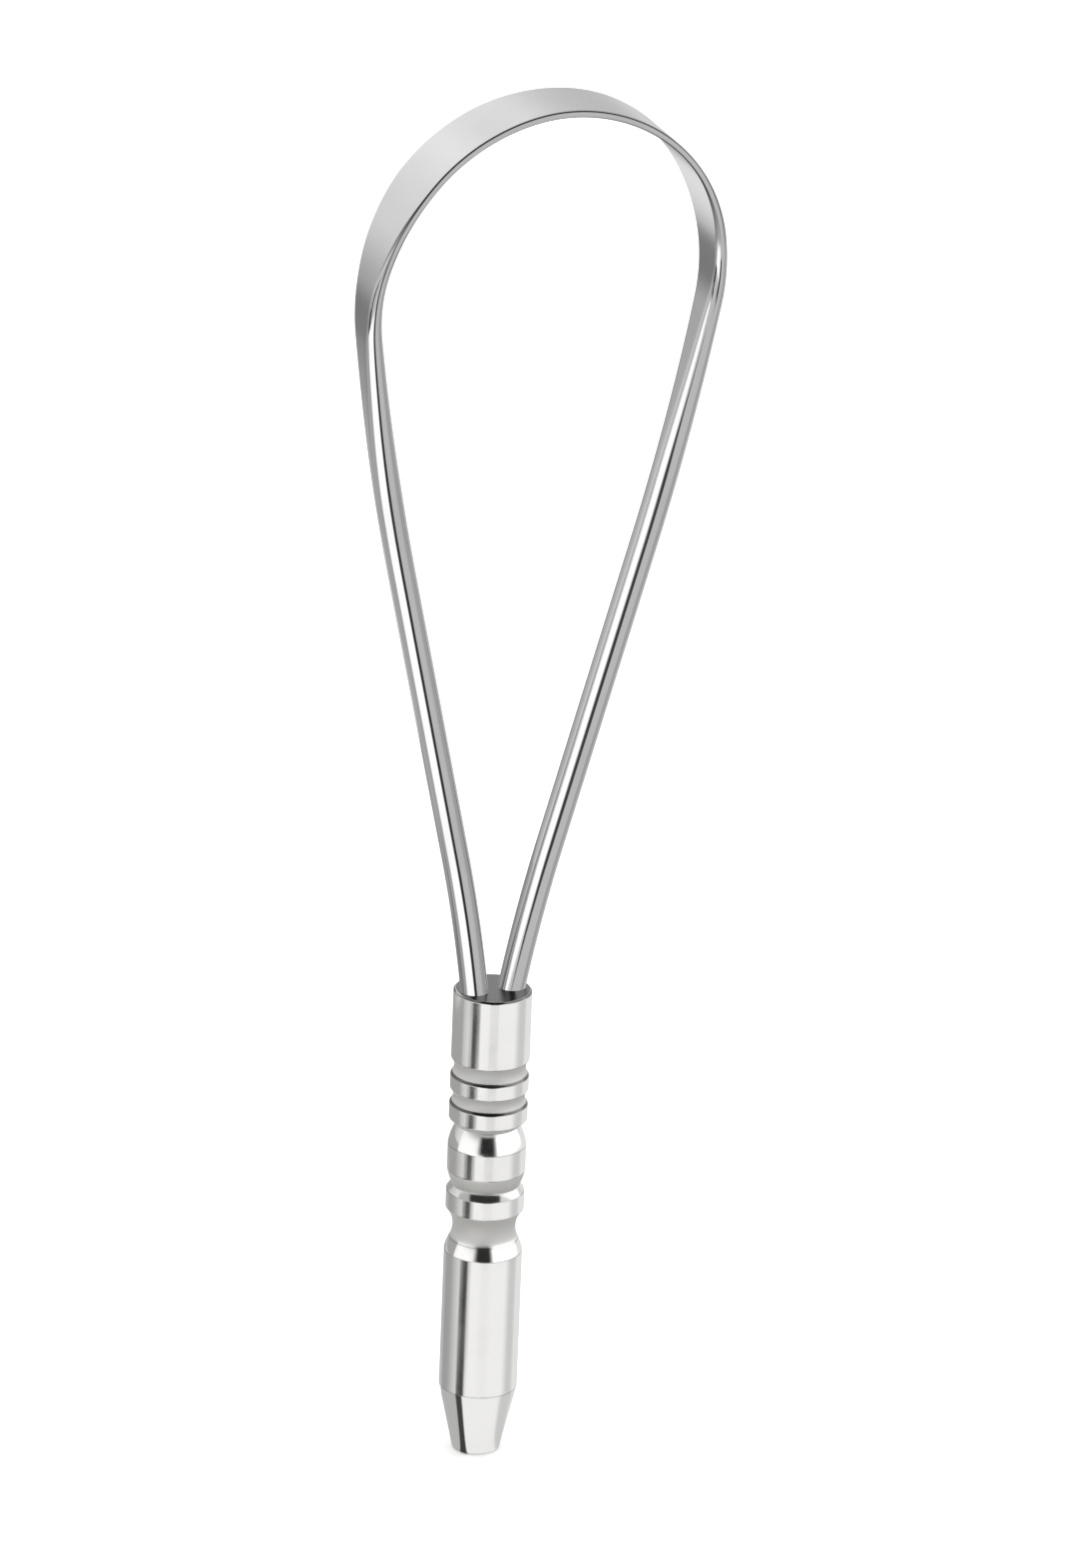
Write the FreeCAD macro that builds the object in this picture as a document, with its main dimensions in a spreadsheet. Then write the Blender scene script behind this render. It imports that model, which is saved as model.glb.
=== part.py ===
import FreeCAD, Part
import math
import os

import Sketcher
from FreeCAD import Placement, Rotation, Vector

# A tongue scraper. A solid turned handle stands on its tip along +Z, and a wire loop, rolled flat
# across its head, has both ends brazed into two blind bores in the handle's collar.
# The loop lies in one plane, which leans from the handle's axis towards -Y about the collar's top.

# Driving dimensions: lengths in millimetres, angles in degrees.
SIZES = {
    # Handle, from the tip up. Every land of it is turned to one diameter.
    "handle_diameter": 10.0,
    "tip_diameter": 6.1,
    "tip_chamfer": 0.2,
    "taper_length": 8.9,
    "barrel_length": 18.8,
    "flare_length": 1.65,
    "flare_diameter": 8.8,
    "flare_arc_radius": 8.8,
    "waist_length": 4.15,
    "waist_arc_radius": 3.76,
    "lower_ring_length": 2.45,
    "shoulder_length": 1.15,
    "shoulder_arc_radius": 3.0,
    "bead_neck_diameter": 8.66,
    "bead_round_length": 1.95,
    "bead_arc_radius": 6.0,
    "bead_length": 3.25,
    "dome_length": 2.7,
    "dome_arc_radius": 8.0,
    "root_diameter": 8.0,
    "root_length": 0.85,
    "middle_ring_length": 2.0,
    "middle_groove_width": 2.1,
    "upper_ring_length": 1.8,
    "upper_groove_width": 2.35,
    "groove_depth": 0.42,
    "collar_length": 9.3,
    "collar_chamfer": 0.35,
    # Loop, from its feet up: round wire, then a taper to a flat blade over the head.
    "wire_diameter": 3.5,
    "foot_spacing": 5.2,
    "foot_depth": 3.2,
    "foot_angle": 9.0,
    "foot_bend_radius": 228.0,
    "leg_angle": 14.0,
    "leg_length": 41.4,
    "upper_leg_radius": 346.0,
    "upper_leg_angle": 8.6,
    "shoulder_bend_radius": 26.2,
    "head_angle": -31.6,
    "oval_width": 5.2,
    "oval_thickness": 2.1,
    "oval_corner": 1.0,
    "blade_width": 8.6,
    "blade_thickness": 0.85,
    "blade_corner": 0.18,
    "loop_lean_angle": 3.8,
    # Joint between the loop's feet and the collar.
    "braze_clearance": 0.08,
    "braze_recess": 0.6,
    "bore_end_gap": 0.3,
    "drill_point_angle": 118.0,
    "cut_overrun": 1.0,
}

# How much of each quarter of the round wire's outline faces a side of the blade, not a corner.
WIRE_SIDE_SHARE = 0.3

doc = FreeCAD.newDocument("tongue_scraper")
sheet = doc.addObject("Spreadsheet::Sheet", "Sizes")
for row, (alias, size) in enumerate(SIZES.items(), start=1):
    sheet.set(f"A{row}", alias)
    sheet.set(f"B{row}", str(size))
    sheet.setAlias(f"B{row}", alias)
doc.recompute()


def cell(alias):
    """Expression that reads one driving dimension."""
    return f"Sizes.{alias}"


def total(aliases):
    """Expression for the sum of several driving dimensions."""
    return " + ".join(cell(alias) for alias in aliases)


def value(expression):
    """Number that an expression has now, in millimetres or degrees."""
    result = sheet.evalExpression(expression)
    return float(getattr(result, "Value", result))


def origin_plane(body, role):
    """One of a body's own origin planes."""
    return next(feature for feature in body.Origin.OriginFeatures if feature.Role == role)


def new_body(label):
    """A body with its own label, which names its file."""
    body = doc.addObject("PartDesign::Body", label)
    body.Label = label
    return body


def new_sketch(body, name, role):
    """A sketch on one of the body's origin planes."""
    sketch = body.newObject("Sketcher::SketchObject", name)
    sketch.AttachmentSupport = [(origin_plane(body, role), "")]
    sketch.MapMode = "FlatFace"
    return sketch


def pin_coordinate(sketch, kind, axis, geometry, end, expression):
    """Holds one coordinate of a point: on the axis when it is zero, else at a bound distance from it."""
    if expression == "0":
        sketch.addConstraint(Sketcher.Constraint("PointOnObject", geometry, end, axis))
        return
    index = sketch.addConstraint(Sketcher.Constraint(kind, -1, 1, geometry, end, value(expression)))
    sketch.setExpression(f"Constraints[{index}]", expression)


def draw_outline(sketch, corners, arcs=None, closed=True):
    """Draws lines and arcs through corners, each a pair of expressions, all of it held by constraints.

    arcs maps the number of an edge to its radius expression and to the side its centre is on, as seen
    along the edge: 1 for left, -1 for right.
    """
    arcs = arcs or {}
    points = [Vector(value(across), value(up), 0) for across, up in corners]
    edge_count = len(points) if closed else len(points) - 1
    ends = []
    for number in range(edge_count):
        start, stop = points[number], points[(number + 1) % len(points)]
        if number not in arcs:
            geometry = sketch.addGeometry(Part.LineSegment(start, stop))
            ends.append((geometry, 1, 2))
            continue
        radius_expression, side = arcs[number]
        radius = value(radius_expression)
        chord = stop - start
        left = Vector(-chord.y, chord.x, 0).normalize()
        reach = math.sqrt(max(radius ** 2 - (chord.Length / 2) ** 2, 0))
        centre = (start + stop) / 2 + left * (side * reach)
        first, last = (start, stop) if side > 0 else (stop, start)
        angles = [math.atan2(point.y - centre.y, point.x - centre.x) for point in (first, last)]
        circle = Part.Circle(centre, Vector(0, 0, 1), radius)
        geometry = sketch.addGeometry(Part.ArcOfCircle(circle, *angles))
        ends.append((geometry, 1, 2) if side > 0 else (geometry, 2, 1))
        index = sketch.addConstraint(Sketcher.Constraint("Radius", geometry, radius))
        sketch.setExpression(f"Constraints[{index}]", radius_expression)
    for number, (across, up) in enumerate(corners):
        leaving = ends[number] if number < edge_count else None
        arriving = ends[number - 1] if closed or number > 0 else None
        if leaving and arriving:
            sketch.addConstraint(
                Sketcher.Constraint("Coincident", arriving[0], arriving[2], leaving[0], leaving[1]))
        geometry, end = leaving[:2] if leaving else (arriving[0], arriving[2])
        pin_coordinate(sketch, "DistanceX", -2, geometry, end, across)
        pin_coordinate(sketch, "DistanceY", -1, geometry, end, up)


def draw_circles(sketch, centres, radius):
    """Draws circles of one bound radius at places given as pairs of expressions."""
    for across, up in centres:
        place = Vector(value(across), value(up), 0)
        geometry = sketch.addGeometry(Part.Circle(place, Vector(0, 0, 1), value(radius)))
        index = sketch.addConstraint(Sketcher.Constraint("Radius", geometry, value(radius)))
        sketch.setExpression(f"Constraints[{index}]", radius)
        pin_coordinate(sketch, "DistanceX", -2, geometry, 3, across)
        pin_coordinate(sketch, "DistanceY", -1, geometry, 3, up)


def draw_axis(sketch, ends):
    """Draws a construction line between two points, each a pair of expressions, as an axis to turn about."""
    points = [Vector(value(across), value(up), 0) for across, up in ends]
    geometry = sketch.addGeometry(Part.LineSegment(*points), True)
    for end, (across, up) in enumerate(ends, start=1):
        pin_coordinate(sketch, "DistanceX", -2, geometry, end, across)
        pin_coordinate(sketch, "DistanceY", -1, geometry, end, up)


def revolve(body, name, sketch, kind="PartDesign::Revolution", axis="V_Axis"):
    """A full turn of a sketch, added or cut, about its own vertical axis or a line drawn in it."""
    feature = body.newObject(kind, name)
    feature.Profile = sketch
    feature.ReferenceAxis = (sketch, [axis])
    feature.Angle = 360.0
    return feature


# Lengths of the handle that lie one above the other, from the tip up.
HANDLE_STEPS = (
    "taper_length", "barrel_length", "flare_length", "waist_length", "lower_ring_length",
    "shoulder_length", "bead_round_length", "bead_length", "dome_length", "root_length",
    "middle_ring_length", "middle_groove_width", "upper_ring_length", "upper_groove_width",
    "collar_length",
)
HANDLE_LENGTH = total(HANDLE_STEPS)
LAND_RADIUS = f"{cell('handle_diameter')} / 2"
WIRE_RADIUS = f"{cell('wire_diameter')} / 2"
BORE_RADIUS = f"{cell('wire_diameter')} / 2 + {cell('braze_clearance')}"
BORE_DEPTH = f"{cell('foot_depth')} + {cell('bore_end_gap')}"
BORE_TIP = f"-({BORE_DEPTH} + ({BORE_RADIUS}) / tan({cell('drill_point_angle')} / 2 * 1 deg))"
FOOT_REACH = f"{cell('foot_spacing')} / 2"
LEAN = cell("loop_lean_angle")


def groove_radius(width):
    """Radius of the arc that cuts a groove of this width to the common groove depth."""
    depth = cell("groove_depth")
    return f"(({cell(width)} / 2) ^ 2 + {depth} ^ 2) / (2 * {depth})"


def half(alias):
    """Expression for half of a driving dimension."""
    return f"{cell(alias)} / 2"


def angle(alias, function):
    """Expression for the sine or cosine of one of the loop's angles."""
    return f"{function}({cell(alias)} * 1 deg)"


def at_foot(side, off_axis, along):
    """A point beside one foot, in the loop's plane: its distance from the foot's axis and along it.

    The foot's axis crosses the collar's top at its own side of the handle and leans outwards from it.
    """
    sine, cosine = angle("foot_angle", "sin"), angle("foot_angle", "cos")
    across = f"{side} * ({FOOT_REACH} + ({along}) * {sine} + ({off_axis}) * {cosine})"
    return across, f"({along}) * {cosine} - ({off_axis}) * {sine}"


def make_handle():
    """The turned handle: one revolved outline, then the two slanted bores in its collar."""
    body = new_body("handle")
    outline = new_sketch(body, "handle_outline", "XZ_Plane")
    # Radius at the top of each step, in the order of HANDLE_STEPS, up to the collar's foot.
    step_radii = (
        LAND_RADIUS, LAND_RADIUS, half("flare_diameter"), LAND_RADIUS, LAND_RADIUS,
        half("bead_neck_diameter"), LAND_RADIUS, LAND_RADIUS, half("root_diameter"), LAND_RADIUS,
        LAND_RADIUS, LAND_RADIUS, LAND_RADIUS, LAND_RADIUS,
    )
    corners = [
        ("0", "0"),
        (f"{half('tip_diameter')} - {cell('tip_chamfer')}", "0"),
        (half("tip_diameter"), cell("tip_chamfer")),
    ]
    first_step = len(corners) - 1
    for count, radius in enumerate(step_radii, start=1):
        corners.append((radius, total(HANDLE_STEPS[:count])))
    corners.append((LAND_RADIUS, f"{HANDLE_LENGTH} - {cell('collar_chamfer')}"))
    corners.append((f"{LAND_RADIUS} - {cell('collar_chamfer')}", HANDLE_LENGTH))
    corners.append(("0", HANDLE_LENGTH))
    # Centres on the left, towards the axis, make a convex step, and on the right a hollow one.
    step_arcs = {
        "flare_length": (cell("flare_arc_radius"), 1),
        "waist_length": (cell("waist_arc_radius"), -1),
        "shoulder_length": (cell("shoulder_arc_radius"), 1),
        "bead_round_length": (cell("bead_arc_radius"), 1),
        "dome_length": (cell("dome_arc_radius"), 1),
        "middle_groove_width": (groove_radius("middle_groove_width"), -1),
        "upper_groove_width": (groove_radius("upper_groove_width"), -1),
    }
    arcs = {first_step + HANDLE_STEPS.index(step): arc for step, arc in step_arcs.items()}
    draw_outline(outline, corners, arcs)
    revolve(body, "handle_turning", outline)
    doc.recompute()
    solid_volume = body.Shape.Volume

    overrun = cell("cut_overrun")
    bore = new_sketch(body, "right_bore_outline", "XZ_Plane")
    bore.AttachmentOffset = Placement(Vector(), Rotation(Vector(1, 0, 0), value(LEAN)))
    bore.setExpression("AttachmentOffset.Rotation.Angle", LEAN)
    bore.setExpression("AttachmentOffset.Base.y", HANDLE_LENGTH)
    drill = (("0", BORE_TIP), (BORE_RADIUS, f"-({BORE_DEPTH})"), (BORE_RADIUS, overrun), ("0", overrun))
    draw_outline(bore, [at_foot(1, off_axis, along) for off_axis, along in drill])
    draw_axis(bore, (at_foot(1, "0", BORE_TIP), at_foot(1, "0", overrun)))
    doc.recompute()
    right_bore = revolve(body, "right_bore", bore, "PartDesign::Groove", "Axis0")
    doc.recompute()
    left_bore = body.newObject("PartDesign::Mirrored", "left_bore")
    left_bore.Originals = [right_bore]
    left_bore.MirrorPlane = (origin_plane(body, "YZ_Plane"), [""])
    body.Tip = left_bore
    doc.recompute()
    if body.Shape.Volume >= solid_volume:
        raise RuntimeError("the bores cut nothing from the handle")
    return body


def lean_on_collar(node):
    """Stands a node of the loop's own frame on the collar's top, leaning towards -Y."""
    node.Placement = Placement(Vector(), Rotation(Vector(1, 0, 0), value(LEAN)))
    node.setExpression("Placement.Rotation.Angle", LEAN)
    node.setExpression("Placement.Base.z", HANDLE_LENGTH)


# Stations of the loop's right half, in its own plane: across, up, and the angle of the wire there
# from straight up. The head's arc has its centre on the handle's axis, so it closes the loop.
BEND_ACROSS = (f"{FOOT_REACH} + {cell('foot_bend_radius')}"
               f" * ({angle('foot_angle', 'cos')} - {angle('leg_angle', 'cos')})")
BEND_UP = f"{cell('foot_bend_radius')} * ({angle('leg_angle', 'sin')} - {angle('foot_angle', 'sin')})"
LEG_ACROSS = f"{BEND_ACROSS} + {cell('leg_length')} * {angle('leg_angle', 'sin')}"
LEG_UP = f"{BEND_UP} + {cell('leg_length')} * {angle('leg_angle', 'cos')}"
OVAL_ACROSS = (f"{LEG_ACROSS} + {cell('upper_leg_radius')}"
               f" * ({angle('upper_leg_angle', 'cos')} - {angle('leg_angle', 'cos')})")
OVAL_UP = (f"{LEG_UP} + {cell('upper_leg_radius')}"
           f" * ({angle('leg_angle', 'sin')} - {angle('upper_leg_angle', 'sin')})")
BLADE_ACROSS = (f"{OVAL_ACROSS} + {cell('shoulder_bend_radius')}"
                f" * ({angle('head_angle', 'cos')} - {angle('upper_leg_angle', 'cos')})")
BLADE_UP = (f"{OVAL_UP} + {cell('shoulder_bend_radius')}"
            f" * ({angle('upper_leg_angle', 'sin')} - {angle('head_angle', 'sin')})")
HEAD_RADIUS = f"({BLADE_ACROSS}) / {angle('head_angle', 'cos')}"
HEAD_CENTRE_UP = f"{BLADE_UP} + {HEAD_RADIUS} * {angle('head_angle', 'sin')}"
APEX_UP = f"{HEAD_CENTRE_UP} + {HEAD_RADIUS}"


def station_sketch(body, name, across, up, turn):
    """A sketch square to the wire: its own x runs across the blade's thickness and its y along Y."""
    sketch = new_sketch(body, name, "XY_Plane")
    sketch.AttachmentOffset = Placement(Vector(), Rotation(Vector(0, 1, 0), value(turn)))
    sketch.setExpression("AttachmentOffset.Rotation.Angle", turn)
    sketch.setExpression("AttachmentOffset.Base.x", across)
    sketch.setExpression("AttachmentOffset.Base.z", up)
    return sketch


def draw_round_section(sketch):
    """The round wire's outline in eight arcs, one for each side and corner of the blade's outline."""
    corners = []
    arcs = {}
    for quarter in range(4):
        for side in (-1, 1):
            turn = 90 * (quarter + side * WIRE_SIDE_SHARE / 2)
            arcs[len(corners)] = (WIRE_RADIUS, 1)
            corners.append((f"{WIRE_RADIUS} * cos({turn} deg)", f"{WIRE_RADIUS} * sin({turn} deg)"))
    draw_outline(sketch, corners, arcs)


def draw_flat_section(sketch, width, thickness, corner):
    """A rounded rectangle: four sides and four corner arcs, in the same order as the round outline."""
    side_x, side_y = half(thickness), half(width)
    inner_x, inner_y = f"{side_x} - {cell(corner)}", f"{side_y} - {cell(corner)}"
    corners = (
        (side_x, f"-({inner_y})"), (side_x, inner_y),
        (inner_x, side_y), (f"-({inner_x})", side_y),
        (f"-({side_x})", inner_y), (f"-({side_x})", f"-({inner_y})"),
        (f"-({inner_x})", f"-({side_y})"), (inner_x, f"-({side_y})"),
    )
    arcs = {number: (cell(corner), 1) for number in range(1, len(corners), 2)}
    draw_outline(sketch, corners, arcs)


def pipe(body, name, profile, path, sections=()):
    """A section carried along a path, through further sections where there are any."""
    feature = body.newObject("PartDesign::AdditivePipe", name)
    feature.Profile = profile
    feature.Spine = path
    if sections:
        feature.Transformation = "Multisection"
        feature.Sections = list(sections)
    return feature


def make_loop():
    """The wire loop: its right leg, shoulder and half of the blade, mirrored to the left."""
    body = new_body("scraper_loop")

    leg_path = new_sketch(body, "leg_path", "XZ_Plane")
    foot_end = at_foot(1, "0", f"-({cell('foot_depth')})")
    leg_corners = (foot_end, (FOOT_REACH, "0"), (BEND_ACROSS, BEND_UP), (LEG_ACROSS, LEG_UP))
    draw_outline(leg_path, leg_corners, {1: (cell("foot_bend_radius"), -1)}, closed=False)
    foot_section = station_sketch(body, "foot_section", *foot_end, cell("foot_angle"))
    draw_circles(foot_section, (("0", "0"),), WIRE_RADIUS)
    doc.recompute()
    leg = pipe(body, "leg", foot_section, leg_path)
    doc.recompute()

    shoulder_path = new_sketch(body, "shoulder_path", "XZ_Plane")
    shoulder_corners = ((LEG_ACROSS, LEG_UP), (OVAL_ACROSS, OVAL_UP), (BLADE_ACROSS, BLADE_UP))
    shoulder_arcs = {0: (cell("upper_leg_radius"), 1), 1: (cell("shoulder_bend_radius"), 1)}
    draw_outline(shoulder_path, shoulder_corners, shoulder_arcs, closed=False)
    round_section = station_sketch(body, "round_section", LEG_ACROSS, LEG_UP, cell("leg_angle"))
    draw_round_section(round_section)
    oval_section = station_sketch(body, "oval_section", OVAL_ACROSS, OVAL_UP, cell("upper_leg_angle"))
    draw_flat_section(oval_section, "oval_width", "oval_thickness", "oval_corner")
    blade_section = station_sketch(body, "blade_section", BLADE_ACROSS, BLADE_UP, cell("head_angle"))
    draw_flat_section(blade_section, "blade_width", "blade_thickness", "blade_corner")
    doc.recompute()
    shoulder = pipe(body, "shoulder", round_section, shoulder_path, (oval_section, blade_section))
    doc.recompute()

    head_path = new_sketch(body, "head_path", "XZ_Plane")
    draw_outline(head_path, ((BLADE_ACROSS, BLADE_UP), ("0", APEX_UP)), {0: (HEAD_RADIUS, 1)}, closed=False)
    head_section = station_sketch(body, "head_section", BLADE_ACROSS, BLADE_UP, cell("head_angle"))
    draw_flat_section(head_section, "blade_width", "blade_thickness", "blade_corner")
    doc.recompute()
    head = pipe(body, "head", head_section, head_path)
    doc.recompute()

    other_half = body.newObject("PartDesign::Mirrored", "other_half")
    other_half.Originals = [leg, shoulder, head]
    other_half.MirrorPlane = (origin_plane(body, "YZ_Plane"), [""])
    body.Tip = other_half
    doc.recompute()
    lean_on_collar(body)
    return body


def make_braze(label, side):
    """The braze round one foot: it fills the bore's clearance and the space under the wire's end."""
    body = new_body(label)
    outline = new_sketch(body, f"{label}_outline", "XZ_Plane")
    top, foot = f"-({cell('braze_recess')})", f"-({cell('foot_depth')})"
    filling = (
        ("0", BORE_TIP), (BORE_RADIUS, f"-({BORE_DEPTH})"), (BORE_RADIUS, top),
        (WIRE_RADIUS, top), (WIRE_RADIUS, foot), ("0", foot),
    )
    draw_outline(outline, [at_foot(side, off_axis, along) for off_axis, along in filling])
    draw_axis(outline, (at_foot(side, "0", BORE_TIP), at_foot(side, "0", foot)))
    revolve(body, f"{label}_turning", outline, axis="Axis0")
    lean_on_collar(body)
    doc.recompute()
    return body


nodes = [make_handle(), make_loop(), make_braze("right_braze", 1), make_braze("left_braze", -1)]
doc.recompute()

for item in doc.Objects:
    if {"Invalid", "Error"} & set(item.State):
        raise RuntimeError(f"{item.Name} failed: {item.State}")
for node in nodes:
    if node.Shape.isNull() or not node.Shape.isValid() or len(node.Shape.Solids) != 1:
        raise RuntimeError(f"{node.Label} is not one valid solid")

os.makedirs("parts", exist_ok=True)
for node in nodes:
    node.Shape.exportStep(f"parts/{node.Label}.step")
    box = node.Shape.optimalBoundingBox()
    print(f"{node.Label}: {node.Shape.Volume:.2f} mm3,"
          f" x {box.XMin:.2f} to {box.XMax:.2f}, y {box.YMin:.2f} to {box.YMax:.2f},"
          f" z {box.ZMin:.2f} to {box.ZMax:.2f}")
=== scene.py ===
"""A tongue scraper in polished steel, standing on a plain pale studio floor.

One Geometry Nodes tree turns the handle from its half outline and another sweeps the loop along its
bent centre line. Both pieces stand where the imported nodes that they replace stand.
"""

import logging
import math
from collections.abc import Callable
from dataclasses import asdict, dataclass, field, fields
from enum import Enum

import bpy
from mathutils import Matrix, Quaternion, Vector

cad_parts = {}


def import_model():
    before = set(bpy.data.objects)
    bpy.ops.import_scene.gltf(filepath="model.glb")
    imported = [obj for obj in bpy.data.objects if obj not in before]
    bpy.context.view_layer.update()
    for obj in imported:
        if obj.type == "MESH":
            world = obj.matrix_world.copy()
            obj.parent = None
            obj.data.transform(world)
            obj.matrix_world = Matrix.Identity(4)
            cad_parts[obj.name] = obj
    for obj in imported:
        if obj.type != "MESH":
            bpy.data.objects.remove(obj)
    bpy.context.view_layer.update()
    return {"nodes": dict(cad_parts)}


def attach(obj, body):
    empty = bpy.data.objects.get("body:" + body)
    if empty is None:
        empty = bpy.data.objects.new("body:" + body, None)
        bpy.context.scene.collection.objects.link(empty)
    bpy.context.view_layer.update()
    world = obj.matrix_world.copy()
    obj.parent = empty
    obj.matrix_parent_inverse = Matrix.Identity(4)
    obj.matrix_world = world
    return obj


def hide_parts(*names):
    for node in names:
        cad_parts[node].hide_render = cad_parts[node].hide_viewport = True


LOG = logging.getLogger("tongue_scraper")
MM = 0.001
QUARTER_TURN = math.pi / 2
MERGE_DISTANCE = 1e-7
# Painted shade: how dark the line painted on each rounded corner of the turned outline is.
CORNER_PAINTED_SHADE = 0.65
# How soon the painted dark line reaches full strength towards the middle of a wire corner's round.
CORNER_SHADE_LINE_SHARE = 2.5
BRAZE_NODES = ("right_braze", "left_braze")

Pair = tuple[float, float]
Colour = tuple[float, float, float]
Socket = bpy.types.NodeSocket
MarkedPoint = tuple[Vector, dict[Enum, object]]
WirePoint = tuple[float, float, float]


class Bend(Enum):
    """Which way a step of the turned outline curves."""

    STRAIGHT = 0
    CONVEX = 1
    HOLLOW = -1


class Mark(Enum):
    """Names of the point attributes that the materials read."""

    # Where the hollows' satin finish lies; its darker colour is painted shade, lighter facing up as painted
    # light.
    HOLLOW = "hollow"
    # Where dark lines of painted shade run along edges and creases.
    EDGE = "edge"
    # Where the collar's top is painted dark as shade.
    HEAT = "heat_tint"
    PLACE = "wire_place"


class Guide(Enum):
    """Names of the point attributes that the sweep reads from its line."""

    SIDE = "side"
    HALF_FLAT = "half_flat"
    HALF_THICK = "half_thick"
    CORNER = "corner"
    ALONG = "along"


class Grain(Enum):
    """Which way the fine marks of a finish run."""

    TURNED = "round the axis"
    DRAWN = "along the wire"


TURNED_MARKS = (Mark.HOLLOW, Mark.EDGE, Mark.HEAT)


class Graph:
    """A node tree with short calls for adding, setting and linking its nodes."""

    # Numbers of the Mix node's sockets for colours.
    MIX_FIRST, MIX_SECOND, MIX_RESULT = 6, 7, 2

    def __init__(self, tree: bpy.types.NodeTree) -> None:
        """Wraps an existing tree."""
        self.tree = tree

    def add(self, kind: str, inputs: dict | None = None, **settings: object) -> bpy.types.Node:
        """Adds a node.

        Args:
            kind: the node's type name.
            inputs: socket names or numbers, each with a value or with a socket to link from.
            settings: properties of the node, set before its inputs.

        Returns:
            The new node.
        """
        node = self.tree.nodes.new(kind)
        for name, setting in settings.items():
            setattr(node, name, setting)
        for name, source in (inputs or {}).items():
            self.feed(node.inputs[name], source)
        return node

    def feed(self, socket: Socket, source: object) -> None:
        """Links a socket from another one, or sets it to a plain value.

        Args:
            socket: the input.
            source: a socket to link from, or a value.
        """
        if isinstance(source, Socket):
            self.tree.links.new(source, socket)
        else:
            socket.default_value = source

    def math(self, operation: str, *terms: object) -> Socket:
        """Result of a Math node."""
        return self.add("ShaderNodeMath", dict(enumerate(terms)), operation=operation).outputs[0]

    def whole(self, operation: str, *terms: object) -> Socket:
        """Result of an Integer Math node."""
        return self.add("FunctionNodeIntegerMath", dict(enumerate(terms)), operation=operation).outputs[0]

    def vector(self, operation: str, *terms: object, result: str = "Vector") -> Socket:
        """Result of a Vector Math node: its vector or, if that is asked for, its value."""
        return self.add("ShaderNodeVectorMath", dict(enumerate(terms)), operation=operation).outputs[result]

    def scaled(self, vector: object, factor: object) -> Socket:
        """A vector times a number."""
        inputs = {0: vector, "Scale": factor}
        return self.add("ShaderNodeVectorMath", inputs, operation="SCALE").outputs["Vector"]

    def combined(self, *parts: object) -> Socket:
        """A vector made of its parts."""
        return self.add("ShaderNodeCombineXYZ", dict(enumerate(parts))).outputs[0]

    def parts(self, vector: Socket) -> tuple[Socket, ...]:
        """The three parts of a vector."""
        return tuple(self.add("ShaderNodeSeparateXYZ", {0: vector}).outputs)

    def noise(self, vector: Socket, scale: object, detail: float) -> Socket:
        """Value of a noise texture."""
        inputs = {"Vector": vector, "Scale": scale, "Detail": detail}
        return self.add("ShaderNodeTexNoise", inputs).outputs[0]

    def place(self) -> Socket:
        """The shaded point's place in its object."""
        return self.add("ShaderNodeTexCoord").outputs["Object"]

    def mark(self, mark: Mark, output: str = "Fac") -> Socket:
        """A point attribute of the shaded piece."""
        return self.add("ShaderNodeAttribute", attribute_name=mark.value).outputs[output]

    def group(self, tree: bpy.types.NodeTree, inputs: dict) -> bpy.types.Node:
        """Adds a shader node group with its inputs."""
        return self.add("ShaderNodeGroup", inputs, node_tree=tree)

    def ramp(self, value: object, low: object, high: object,
             out_low: object = 0.0, out_high: object = 1.0) -> Socket:
        """A smooth, clamped change from one value to another.

        Args:
            value: what is mapped.
            low: where the change starts.
            high: where the change ends.
            out_low: the result below the start.
            out_high: the result above the end.

        Returns:
            The mapped value's socket.
        """
        inputs = {"Value": value, "From Min": low, "From Max": high, "To Min": out_low, "To Max": out_high}
        return self.add("ShaderNodeMapRange", inputs, interpolation_type="SMOOTHSTEP").outputs[0]

    def tint(self, share: object, first: object, second: object) -> Socket:
        """A colour mixed from two by the second one's share."""
        inputs = {"Factor": share, self.MIX_FIRST: first, self.MIX_SECOND: second}
        return self.add("ShaderNodeMix", inputs, data_type="RGBA").outputs[self.MIX_RESULT]


Glow = float | Callable[[Graph], Socket]


def opaque(colour: Colour) -> tuple[float, ...]:
    """A colour with full alpha."""
    return (*colour, 1.0)


def new_group(name: str, kind: str, inputs: dict[str, str],
              outputs: dict[str, str]) -> tuple[Graph, dict[str, Socket], bpy.types.NodeInputs]:
    """Makes a node group with a named interface.

    Args:
        name: the group's name.
        kind: the tree's type name.
        inputs: input names with their socket types.
        outputs: output names with their socket types.

    Returns:
        The group's graph, its input sockets by name and its output node's sockets by name.
    """
    tree = bpy.data.node_groups.new(name, kind)
    for way, sockets in (("INPUT", inputs), ("OUTPUT", outputs)):
        for label, socket_type in sockets.items():
            tree.interface.new_socket(label, in_out=way, socket_type=socket_type)
    graph = Graph(tree)
    entry = graph.add("NodeGroupInput")
    leave = graph.add("NodeGroupOutput")
    return graph, {label: entry.outputs[label] for label in inputs}, leave.inputs


def new_material(name: str) -> tuple[bpy.types.Material, Graph]:
    """Makes a material without nodes.

    Args:
        name: the material's name.

    Returns:
        The material and the graph of its tree.
    """
    material = bpy.data.materials.new(name)
    material.use_nodes = True
    material.node_tree.nodes.clear()
    return material, Graph(material.node_tree)


def linked(name: str, data: bpy.types.ID) -> bpy.types.Object:
    """Makes an object.

    Args:
        name: the object's name.
        data: its mesh, light or camera.

    Returns:
        The object, linked into the scene.
    """
    made = bpy.data.objects.new(name, data)
    bpy.context.scene.collection.objects.link(made)
    return made


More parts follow.
